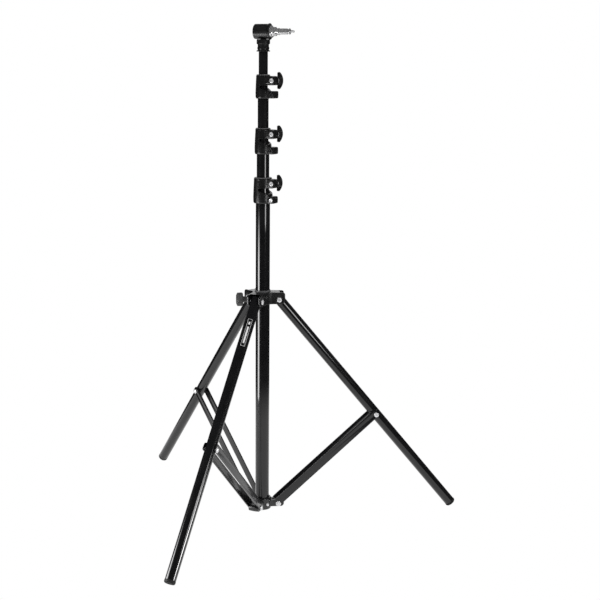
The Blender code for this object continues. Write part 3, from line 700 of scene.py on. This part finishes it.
    fx = at @ move(LUG_X, 0, zf) @ ALONG_Y
    f = lathe("collar_%d_fixing_rivet" % n, [(0, 12.0), (3.0, 12.0, 0.3), (3.0, -12.3), (5.5, -12.3, 0.3), (5.7, -14.6, 0.8), (4.4, -16.2, 0.7), (2.8, -16.0, 0.4), (2.4, -13.4, 0.3), (0, -13.2)], fx, 48)
    place(f, "collar_%d_fixing_bolt" % n, ZINC if n == 1 else DARK_ZINC)

# ---------------------------------------------------------------- upper hub
HUB = move(0, 0, PIVOT_Z)
HUB_LO, HUB_HI, CHEEK_IN, CHEEK_OUT = -12.0, 22.6, 15.8, 20.6
hub = plate("leg_hub_casting", [star(62.6, CHEEK_OUT, 26.0, 1.5)], HUB_HI - HUB_LO, HUB @ move(0, 0, (HUB_LO + HUB_HI) / 2))
env = lathe("hub_env", [(0, HUB_HI + 0.2), (24.5, HUB_HI + 0.2, 2), (27.5, HUB_HI - 0.6, 4), (63.4, HUB_HI - 2.0, 5.0), (65.4, HUB_HI - 9.0, 4)] + [
    (54.0 + 11.6 * math.cos(q), HUB_LO + 10.9 - 11.5 * math.sin(q)) for q in (0.0, 0.3, 0.6, 0.9, 1.2, 1.5)] + [(30, HUB_LO - 0.2), (0, HUB_LO - 0.2)],
    HUB, 128, coll=WORK)
boolean(hub, [env], "INTERSECT")
boss = lathe("hub_boss", [(0, 44.0), (8.6, 44.0, 0.8), (9.6, 42.8, 0.5), (10.4, 30.0, 0.5), (13.0, 22.0), (0, 18.0)], HUB @ rot_z(180) @ ALONG_X, 56, coll=WORK)
join(hub, boss)
tools = []
for k, az in enumerate(LEG_AZ):
    tools.append(plate("hub_slot", [fillet([(25.4, -CHEEK_IN, 2.0), (90, -CHEEK_IN, 0), (90, CHEEK_IN, 0), (25.4, CHEEK_IN, 2.0)], True, 6)], 80, HUB @ rot_z(az) @ move(0, 0, HUB_HI - 2.0 - 40)))
    tools.append(rod("hub_hole", 4.3, -40, 40, HUB @ rot_z(az) @ move(PIVOT_R, 0, 0) @ ALONG_Y, 32))
    for s in (1, -1):
        tools.append(rod("hub_pocket", 8.6, 19.4, 30, HUB @ rot_z(az) @ move(PIVOT_R, 0, 0) @ rot_x(-90 * s), 48))
tools.append(rod("hub_bore", 22.9, -60, 60, HUB, 96))
tools.append(rod("hub_screw_hole", 4.3, 15, 60, HUB @ rot_z(180) @ ALONG_X, 32))
cut(hub, *tools)
cast(hub, 0.72, 3, 0.25)
place(hub, "leg_hub", CAST, angle=None)

liner = lathe("leg_hub_sleeve", [(22.4, HUB_LO + 1.5, 0.3), (20.8, HUB_LO + 1.5, 0.3), (20.75, HUB_HI + 4.5, 0.3), (21.6, HUB_HI + 4.5, 0.4), (22.5, HUB_HI + 2.8, 0.6)], HUB, 96, closed=True)
place(liner, "leg_hub_liner", NYLON_LIFTED_FOR_PAINTED_HIGHLIGHT)
KN = HUB @ rot_z(180) @ ALONG_X
pad = lathe("hub_brake_plug", [(0, 27.0), (3.8, 27.0, 0.4), (3.8, 20.9, 0.6), (0, 20.9)], KN, 40)
place(pad, "hub_brake_pad", NYLON_LIFTED_FOR_PAINTED_HIGHLIGHT)


def scallop(a, r, z):
    if r < 17.0:
        return r
    return r - 0.75 * (0.5 + 0.5 * math.cos(14 * a)) ** 3


knob = lathe("hub_lock_knob", [(0, 74.4), (5.5, 74.4, 0.5), (7.0, 75.4, 0.6), (13.5, 75.4, 3.0), (19.2, 72.6, 2.6), (19.5, 59.0, 1.8), (16.8, 56.7, 1.0), (8.6, 56.6, 0.6), (8.2, 45.2, 0.6), (5.0, 44.7, 0.3), (3.8, 44.7), (3.8, 27.4, 0.5), (0, 27.4)], KN, 168, warp=scallop)
place(knob, "hub_knob", GREY_KNOB, angle=40)

for k, az in enumerate(LEG_AZ):
    side = -1 if k == 0 else 1
    b = through_bolt("leg_%d_pivot_screw" % (k + 1), rot_z(az) @ move(PIVOT_R, 0, PIVOT_Z) @ ALONG_Y, side, 4.0, 7.3, 19.9, 23.6, 11.6)
    place(b, "leg_%d_pivot_bolt" % (k + 1), ZINC, angle=30)

# ---------------------------------------------------------------- lower hub
LOW = move(0, 0, LOWER_Z)
lower = lathe("lower_hub_casting", [(0, 34.5), (20.6, 34.5), (24.9, 34.5, 0.8), (26.2, 32.4, 0.8), (26.4, 27.0, 2), (26.4, 6.0, 2), (25.6, 0.4, 1.2), (0, 0.0)], IDENT, 96)
ton = plate("tongues", [star(64.0, 15.4, 10.0, 1.0)], 18.6, LOW)
tenv = lathe("tongue_env", [(0, 9.3), (56.0, 9.3, 1.5)] + [(56.4 + 8.6 * math.sin(q), 9.3 * math.cos(q)) for q in (0.3, 0.6, 0.9, 1.2, 1.57, 1.94, 2.24, 2.54, 2.84)] + [(56.0, -9.3, 1.5), (0, -9.3)], LOW, 128, coll=WORK)
boolean(ton, [tenv], "INTERSECT")
join(lower, ton)
tools = []
for az in LEG_AZ:
    tools.append(rod("low_hole", 4.3, -30, 30, rot_z(az) @ move(LOWER_R, 0, LOWER_Z) @ ALONG_Y, 32))
    for s in (1, -1):
        tools.append(plate("low_pocket", [fillet([(28.5, -4.0, 1.5), (37.0, -4.0, 1.5), (37.0, 4.0, 1.5), (28.5, 4.0, 1.5)], True, 5)], 9.0, rot_z(az) @ LOW @ move(0, 0, 10.0 * s)))
tools.append(rod("low_bore", 20.3, -20, 60, IDENT, 96))
tools.append(rod("low_set_hole", 2.8, 15, 40, rot_z(-60) @ LOW @ ALONG_X, 32))
cut(lower, *tools)
cast(lower, 0.70, 3, 0.25)
place(lower, "lower_hub", CAST, angle=None)
SS = rot_z(-60) @ LOW @ ALONG_X
screw = lathe("lower_hub_set_screw_head", [(0, 30.6), (2.2, 30.5, 0.3), (4.2, 29.6, 0.8), (4.6, 28.2, 0.4), (4.6, 26.8, 0.2), (2.5, 26.8), (2.5, 20.4), (0, 20.4)], SS, 48)
cut(screw, plate("ss_sock", [hex_outline(2.6)], 3.0, SS @ move(0, 0, 30.6)))
place(screw, "lower_hub_set_screw", ZINC)
for k, az in enumerate(LEG_AZ):
    side = -1 if k == 0 else 1
    b = through_bolt("brace_%d_hub_screw" % (k + 1), rot_z(az) @ move(LOWER_R, 0, LOWER_Z) @ ALONG_Y, side, 4.0, 7.9, 19.1, 22.0, 12.0)
    place(b, "brace_%d_hub_bolt" % (k + 1), ZINC, angle=30)

# ---------------------------------------------------------------- legs and braces
for k, az in enumerate(LEG_AZ):
    n = k + 1
    at = rot_z(az) @ move(PIVOT_R, 0, PIVOT_Z) @ rot_y(-LEG_ANGLE)
    t = tube("leg_%d_main_tube" % n, LEG_R, WALL, -LEG_LEN + 8.5, 9.4, at, 96, holes=((-BRACE_AT, 0.0, 3.9), (-2.4, -2.0, 8.2)))
    place(t, "leg_%d_tube" % n, TUBE)
    p = lathe("leg_%d_top_plug" % n, [(0, 11.2), (9.0, 11.1, 3), (13.2, 10.5, 1.2), (14.9, 10.0, 0.2), (14.9, 9.6, 0.1), (13.2, 9.6), (13.2, -24, 0.6), (0, -24)], at, 72)
    cut(p, rod("plug_hole", 8.2, -30, 30, at @ move(-2.0, 0, -2.4) @ ALONG_Y, 48))
    place(p, "leg_%d_plug" % n, MOULD)
    L = -LEG_LEN
    f = lathe("leg_%d_rubber_foot" % n, [(0, L + 34), (13.2, L + 34, 0.6), (13.2, L + 8.2), (15.25, L + 8.2, 0.5), (15.3, L + 6.3, 0.3), (14.8, L + 5.9, 0.2), (14.8, L + 5.3, 0.2), (15.3, L + 4.9, 0.3),
              (15.1, L + 2.8, 1.2), (13.4, L + 0.7, 1.6), (9.5, L, 1.2), (4.0, L, 0.5), (3.5, L + 0.8, 0.3), (0, L + 0.8)], at, 96)
    place(f, "leg_%d_foot" % n, FOOT, angle=40)

    bt = rot_z(az) @ move(LOWER_R, 0, LOWER_Z) @ rot_y(BRACE_ANGLE)
    outline = fillet([(BAR_OUT, -8.6, 6.8), (BAR_OUT, BRACE_LEN + 10.0, 6.8), (-BAR_IN, BRACE_LEN + 10.0, 9.5), (-BAR_IN, -8.6, 9.5)], True, 10)
    for s, tag in ((1, "a"), (-1, "b")):
        bar = plate("brace_%d_bar_%s" % (n, tag), [outline, circle(0, 0, 4.3), circle(0, BRACE_LEN, 3.8)], BAR_T, bt @ move(0, s * (BAR_FACE + BAR_T / 2), 0) @ XZ)
        edge_round(bar, 0.45, 3, 50)
        place(bar, "brace_%d%s_bar" % (n, tag), BAR)
    side = -1 if k == 0 else 1
    b = through_bolt("brace_%d_leg_screw" % n, rot_z(az) @ move(JOINT_R, 0, JOINT_Z) @ ALONG_Y, side, 3.5, 7.2, 19.1, 23.6, 11.4)
    place(b, "brace_%d_leg_bolt" % n, ZINC, angle=30)

# ---------------------------------------------------------------- plain marking on leg 3
def leg_patch(name, at, a0, a1, z0, z1, r):
    """Thin print that follows the tube: angles in degrees round it, heights along it."""
    bm = bmesh.new()
    na, nz = max(2, int(abs(a1 - a0) / 3)), max(2, int(abs(z1 - z0) / 6))
    grid = []
    for i in range(na + 1):
        a = math.radians(a0 + (a1 - a0) * i / na)
        grid.append([[bm.verts.new((q * MM * math.cos(a), q * MM * math.sin(a), (z0 + (z1 - z0) * j / nz) * MM)) for j in range(nz + 1)] for q in (r, r - 0.12)])
    for i in range(na):
        for j in range(nz):
            bm.faces.new((grid[i][0][j], grid[i + 1][0][j], grid[i + 1][0][j + 1], grid[i][0][j + 1]))
            bm.faces.new((grid[i][1][j], grid[i][1][j + 1], grid[i + 1][1][j + 1], grid[i + 1][1][j]))
    for i in range(na):
        for j in (0, nz):
            bm.faces.new((grid[i][0][j], grid[i][1][j], grid[i + 1][1][j], grid[i + 1][0][j]))
    for i in (0, na):
        for j in range(nz):
            bm.faces.new((grid[i][0][j], grid[i][0][j + 1], grid[i][1][j + 1], grid[i][1][j]))
    bmesh.ops.recalc_face_normals(bm, faces=bm.faces)
    me = bpy.data.meshes.new(name)
    bm.to_mesh(me)
    bm.free()
    return new_object(name, me, at)


at3 = rot_z(LEG_AZ[2]) @ move(PIVOT_R, 0, PIVOT_Z) @ rot_y(-LEG_ANGLE)
eye = rot_z(-5.599) @ Vector((0.0, -3.36789, 1.31545))
seen = at3.inverted() @ eye
LAB_A, LAB_W, LAB_0, LAB_1 = math.degrees(math.atan2(seen.y, seen.x)), 24.0, -62.0, -146.0
R1 = LEG_R + 0.10
marks = [
    ("frame_left", LAB_A - LAB_W, LAB_A - LAB_W + 3.0, LAB_0, LAB_1),
    ("frame_right", LAB_A + LAB_W - 3.0, LAB_A + LAB_W, LAB_0, LAB_1),
    ("frame_top", LAB_A - LAB_W, LAB_A + LAB_W, LAB_0, LAB_0 - 0.8),
    ("frame_bottom", LAB_A - LAB_W, LAB_A + LAB_W, LAB_1 + 0.8, LAB_1),
    ("stripe_short", LAB_A - 9.0, LAB_A + 9.0, LAB_0 - 9.0, LAB_0 - 17.0),
    ("stripe_long", LAB_A - 9.0, LAB_A + 9.0, LAB_0 - 24.0, LAB_1 + 9.0),
]
for tag, a0, a1, z0, z1 in marks:
    p = leg_patch("leg_3_marking_" + tag, at3, a0, a1, z0, z1, R1)
    p.data.materials.append(PRINT)
    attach(p, BODY["leg_3_tube"])

# ---------------------------------------------------------------- head
neck = lathe("head_neck_socket", [
    (17.6, 1351.4, 0.5), (18.3, 1350.4, 0.4), (18.3, 1339.6, 0.5), (17.4, 1338.5, 0.4), (15.6, 1338.2, 0.6), (15.4, 1332.0, 0.6), (16.4, 1329.6, 1.0), (16.4, 1326.4, 1.0), (15.5, 1323.6, 0.8),
    (16.2, 1322.0, 0.6), (18.5, 1321.6, 0.4), (18.5, 1318.7, 0.5), (12.9, 1318.7, 0.3), (12.9, 1331.4), (8.2, 1331.4), (8.2, 1351.4)], IDENT, 112, closed=True)
place(neck, "head_neck", MOULD)

HEAD = move(0, 0, HEAD_AXIS_Z) @ rot_z(HEAD_AZ) @ ALONG_X
head = lathe("head_body_casting", [
    (8.3, 20.8), (21.0, 20.8, 0.6), (22.0, 20.0, 0.5), (22.0, 17.6, 0.5), (20.5, 15.6, 0.8), (20.3, -22.6, 1.5), (18.4, -25.1, 1.5), (9.0, -25.1, 0.8), (8.4, -24.3, 0.5), (0, -24.3),
    (0, 4.0), (8.3, 4.0)], HEAD, 112)
bm = bmesh.new()
bm.from_mesh(head.data)
loose = [e for e in bm.edges if e.is_boundary]
if loose:
    bmesh.ops.holes_fill(bm, edges=loose, sides=0)
bmesh.ops.recalc_face_normals(bm, faces=bm.faces)
bm.to_mesh(head.data)
bm.free()
cut(head, block("head_flat", (-60, -60, -60), (18.7, 60, -19.7), move(0, 0, HEAD_AXIS_Z) @ rot_z(HEAD_AZ)))
join(head, rod("head_post", 7.7, -40, -10, move(0, 0, HEAD_AXIS_Z), 56))
cast(head, 0.55, 3, 0.35)
place(head, "head_body", CAST, angle=None)


def thread(name, r, depth, pitch, z0, z1, matrix, seg=40, per=8):
    """Cylinder with a helical ridge, tapering out at both ends."""
    rows = max(4, int(round((z1 - z0) / pitch * per)))
    bm = bmesh.new()
    rings = []
    for j in range(rows + 1):
        z = z0 + (z1 - z0) * j / rows
        fade = min(1.0, (z - z0) / pitch, (z1 - z) / pitch)
        ring = []
        for k in range(seg):
            a = math.tau * k / seg
            f = (z / pitch - k / seg) % 1.0
            tri = 1 - abs(2 * f - 1)
            q = r - depth * (1 - tri) * max(0.0, fade) - (0.35 if j in (0, rows) else 0.0)
            ring.append(bm.verts.new((q * MM * math.cos(a), q * MM * math.sin(a), z * MM)))
        rings.append(ring)
    for a, b in zip(rings, rings[1:]):
        for k in range(seg):
            j = (k + 1) % seg
            bm.faces.new((a[k], a[j], b[j], b[k]))
    bm.faces.new(list(reversed(rings[0])))
    bm.faces.new(rings[-1])
    bmesh.ops.recalc_face_normals(bm, faces=bm.faces)
    me = bpy.data.meshes.new(name)
    bm.to_mesh(me)
    bm.free()
    return new_object(name, me, matrix, WORK)


TIP = 88.6
spig = lathe("spigot_16mm", [
    (0, 77.6), (7.2, 77.6, 0.5), (8.0, 76.8, 0.3), (8.0, 74.6, 0.3), (6.4, 73.6, 0.4), (6.4, 70.6, 0.4), (8.0, 69.4, 0.4), (8.0, 60.4, 0.1), (7.85, 60.2, 0.1), (7.85, 59.6, 0.1), (8.0, 59.4, 0.1), (8.0, 46.8, 0.3),
    (9.4, 46.2, 0.4), (9.4, 44.2, 0.4), (8.2, 43.2, 0.3), (8.2, 41.0, 0.3), (12.0, 37.2, 0.8), (12.0, 30.4, 0.8), (14.0, 27.8, 0.6), (16.0, 26.4, 0.5), (16.0, 21.1, 0.4), (8.0, 21.1), (8.0, 4.6), (0, 4.6)], HEAD, 96)
join(spig, thread("stud", 3.1, 0.42, 1.27, 76.5, TIP, HEAD))
place(spig, "spigot", SPIGOT, angle=30)

# ---------------------------------------------------------------- stage: floor, light, camera
TH = 5.599                       # the camera looks along +Y in a frame turned by this about the column
STAGE = rot_z(-TH)
FLOOR_NEAR, FLOOR_FAR = 0.90, 1.55   # reach of the lit patch of floor seen in reflections


def stage_mat(name, color, rough=0.9):
    m, nt, b = nodes_of(name)
    b.inputs["Base Color"].default_value = (*color, 1.0)
    b.inputs["Roughness"].default_value = rough
    b.inputs["Specular IOR Level"].default_value = 0.1
    return m


def sheet(name, corners, matrix):
    me = bpy.data.meshes.new(name)
    bm = bmesh.new()
    bm.faces.new([bm.verts.new(c) for c in corners])
    bm.to_mesh(me)
    bm.free()
    o = new_object(name, me, matrix)
    return o


floor = sheet("floor", [(-40, -40, 0), (40, -40, 0), (40, 60, 0), (-40, 60, 0)], STAGE @ move(0, 0, FLOOR_Z - 0.4))
fm = stage_mat("floor_pale", (0.86, 0.86, 0.86))
nt = fm.node_tree
out = [n for n in nt.nodes if n.type == "OUTPUT_MATERIAL"][0]
matte = nt.nodes["Principled BSDF"].outputs[0]
lp = nt.nodes.new("ShaderNodeLightPath")
geo = nt.nodes.new("ShaderNodeNewGeometry")
flat = nt.nodes.new("ShaderNodeVectorMath")
flat.operation = "MULTIPLY"
flat.inputs[1].default_value = (1.0, 1.0, 0.0)
nt.links.new(geo.outputs["Position"], flat.inputs[0])
away = nt.nodes.new("ShaderNodeVectorMath")
away.operation = "LENGTH"
nt.links.new(flat.outputs[0], away.inputs[0])
pool = ramp(nt, away.outputs["Value"], FLOOR_NEAR, FLOOR_FAR, 1.0, 0.02)
white = nt.nodes.new("ShaderNodeEmission")
seen_glow = nt.nodes.new("ShaderNodeEmission")
nt.links.new(pool, seen_glow.inputs["Strength"])
m1 = nt.nodes.new("ShaderNodeMixShader")
nt.links.new(lp.outputs["Is Glossy Ray"], m1.inputs[0])
nt.links.new(matte, m1.inputs[1])
nt.links.new(seen_glow.outputs[0], m1.inputs[2])
m2 = nt.nodes.new("ShaderNodeMixShader")
nt.links.new(lp.outputs["Is Camera Ray"], m2.inputs[0])
nt.links.new(m1.outputs[0], m2.inputs[1])
nt.links.new(white.outputs[0], m2.inputs[2])
nt.links.new(m2.outputs[0], out.inputs["Surface"])
floor.data.materials.append(fm)


def card(name, az, dist, z0, z1, width, strength, soft=(0.18, 0.25), centre=(0.0, 0.0), flag=None):
    """Soft light panel seen only in reflections, standing at an azimuth from the camera's direction."""
    a = math.radians(az)
    m = STAGE @ Matrix.Translation((centre[0] + dist * math.sin(a), centre[1] - dist * math.cos(a), (z0 + z1) / 2)) @ rot_z(az) @ rot_x(90)
    hw, hh = width / 2, (z1 - z0) / 2
    o = sheet(name, [(-hw, -hh, 0), (hw, -hh, 0), (hw, hh, 0), (-hw, hh, 0)], m)
    mat = bpy.data.materials.new(name + "_glow")
    mat.use_nodes = True
    nt = mat.node_tree
    nt.nodes.clear()
    out = nt.nodes.new("ShaderNodeOutputMaterial")
    em = nt.nodes.new("ShaderNodeEmission")
    tr = nt.nodes.new("ShaderNodeBsdfTransparent")
    mx = nt.nodes.new("ShaderNodeMixShader")
    co = nt.nodes.new("ShaderNodeTexCoord")
    sep = nt.nodes.new("ShaderNodeSeparateXYZ")
    nt.links.new(co.outputs["Object"], sep.inputs[0])
    ax = math_node(nt, "ABSOLUTE", sep.outputs["X"], 0)
    ay = math_node(nt, "ABSOLUTE", sep.outputs["Y"], 0)
    fx = ramp(nt, ax, hw * (1 - soft[0]), hw, 1.0, 0.0)
    fy = ramp(nt, ay, hh * (1 - soft[1]), hh, 1.0, 0.0)
    f = math_node(nt, "MULTIPLY", fx, fy)
    if flag:  # flagged off from the column: what it lights depends on where a reflected ray starts
        geo, path = nt.nodes.new("ShaderNodeNewGeometry"), nt.nodes.new("ShaderNodeLightPath")
        back = nt.nodes.new("ShaderNodeVectorMath")
        back.operation = "SCALE"
        nt.links.new(geo.outputs["Incoming"], back.inputs[0])
        nt.links.new(path.outputs["Ray Length"], back.inputs["Scale"])
        start = nt.nodes.new("ShaderNodeVectorMath")
        start.operation = "ADD"
        nt.links.new(geo.outputs["Position"], start.inputs[0])
        nt.links.new(back.outputs[0], start.inputs[1])
        level = nt.nodes.new("ShaderNodeVectorMath")
        level.operation = "MULTIPLY"
        level.inputs[1].default_value = (1.0, 1.0, 0.0)
        nt.links.new(start.outputs[0], level.inputs[0])
        gap = nt.nodes.new("ShaderNodeVectorMath")
        gap.operation = "LENGTH"
        nt.links.new(level.outputs[0], gap.inputs[0])
        ahead = nt.nodes.new("ShaderNodeVectorMath")
        ahead.operation = "DOT_PRODUCT"
        ahead.inputs[1].default_value = STAGE.to_3x3() @ Vector((0, -1, 0))
        nt.links.new(start.outputs[0], ahead.inputs[0])
        if flag == "near":
            f = math_node(nt, "MULTIPLY", f, ramp(nt, ahead.outputs["Value"], 0.04, 0.09))
        else:
            f = math_node(nt, "MULTIPLY", f, ramp(nt, ahead.outputs["Value"], 0.0, 0.04, 1.0, 0.0))
            f = math_node(nt, "MULTIPLY", f, ramp(nt, gap.outputs["Value"], 0.07, 0.10))
            f = math_node(nt, "MULTIPLY", f, ramp(nt, gap.outputs["Value"], 0.15, 0.36, 1.0, 0.0))
    em.inputs["Strength"].default_value = strength
    nt.links.new(f, mx.inputs[0])
    nt.links.new(tr.outputs[0], mx.inputs[1])
    nt.links.new(em.outputs[0], mx.inputs[2])
    nt.links.new(mx.outputs[0], out.inputs["Surface"])
    o.data.materials.append(mat)
    o.visible_camera = False
    o.visible_diffuse = False
    o.visible_shadow = False
    o.visible_transmission = False
    o.visible_volume_scatter = False
    return o


card("panel_right_front", 43.0, 1.50, 0.60, 0.97, 0.44, 9.0, (0.12, 0.30))
card("panel_left_low", -68.5, 1.22, -0.50, 0.76, 0.64, 13.0, (0.20, 0.40))
card("panel_right_far", 76.0, 3.40, 0.05, 0.95, 0.80, 36.0, (0.30, 0.70), centre=(-0.15, -0.45), flag="near")
card("panel_right_side", 76.0, 3.44, 0.05, 0.95, 0.80, 44.0, (0.30, 0.70), centre=(-0.15, -0.45), flag="side")


def area(name, loc, target, size, power):
    d = bpy.data.lights.new(name, "AREA")
    d.shape = "RECTANGLE"
    d.size, d.size_y = size
    d.energy = power
    o = bpy.data.objects.new(name, d)
    SCENE.collection.objects.link(o)
    p = STAGE @ Vector(loc)
    o.location = p
    o.rotation_mode = "QUATERNION"
    o.rotation_quaternion = (STAGE @ Vector(target) - p).to_track_quat("-Z", "Y")
    o.visible_glossy = False
    return o


area("soft_key", (-1.4, -1.8, 3.6), (0, 0, 0.4), (2.6, 2.6), 34.0)
area("soft_fill", (2.2, 0.6, 3.2), (0, 0, 0.4), (3.0, 3.0), 20.0)

w = bpy.data.worlds.new("studio")
SCENE.world = w
w.use_nodes = True
nt = w.node_tree
nt.nodes.clear()
out = nt.nodes.new("ShaderNodeOutputWorld")
lp = nt.nodes.new("ShaderNodeLightPath")
tc = nt.nodes.new("ShaderNodeTexCoord")
mp = nt.nodes.new("ShaderNodeMapping")
mp.vector_type = "POINT"
mp.inputs["Rotation"].default_value = (0, 0, math.radians(TH))
nt.links.new(tc.outputs["Generated"], mp.inputs["Vector"])
sep = nt.nodes.new("ShaderNodeSeparateXYZ")
nt.links.new(mp.outputs["Vector"], sep.inputs[0])
back = ramp(nt, sep.outputs["Y"], 0.78, 0.90)
low = ramp(nt, sep.outputs["Z"], 0.02, 0.08)
top = ramp(nt, sep.outputs["Z"], 0.38, 0.60, 1.0, 0.0)
glow = math_node(nt, "ADD", math_node(nt, "MULTIPLY", math_node(nt, "MULTIPLY", back, top), low), 0.012)
g = nt.nodes.new("ShaderNodeBackground")
g.inputs["Color"].default_value = (1, 1, 1, 1)
nt.links.new(glow, g.inputs["Strength"])
plain = nt.nodes.new("ShaderNodeBackground")
plain.inputs["Color"].default_value = (1, 1, 1, 1)
plain.inputs["Strength"].default_value = 1.0
mix = nt.nodes.new("ShaderNodeMixShader")
nt.links.new(lp.outputs["Is Glossy Ray"], mix.inputs[0])
nt.links.new(plain.outputs[0], mix.inputs[1])
nt.links.new(g.outputs[0], mix.inputs[2])
nt.links.new(mix.outputs[0], out.inputs["Surface"])

SCENE.view_settings.view_transform = "Standard"
SCENE.view_settings.look = "None"
SCENE.view_settings.exposure = 0.0

cam_data = bpy.data.cameras.new("camera")
cam = bpy.data.objects.new("camera", cam_data)
SCENE.collection.objects.link(cam)
F, U0, V0, DIST, HEIGHT, PITCH, ROLL, XC = 1204.13, 262.979, 327.371, 3.36789, 1.31545, 12.8463, 0.157, 0.00112
cam_data.sensor_fit = "HORIZONTAL"
cam_data.sensor_width = 36.0
cam_data.lens = F / 600 * 36
cam_data.shift_x = (300 - U0) / 600
cam_data.shift_y = (V0 - 300) / 600
cam_data.clip_start, cam_data.clip_end = 0.05, 200.0
cam.matrix_world = STAGE @ Matrix.Translation((XC, -DIST, HEIGHT)) @ rot_x(90 - PITCH) @ rot_z(ROLL)
SCENE.camera = cam

# ---------------------------------------------------------------- finish: drop the work collection
bpy.data.collections.remove(WORK)
bpy.context.view_layer.update()
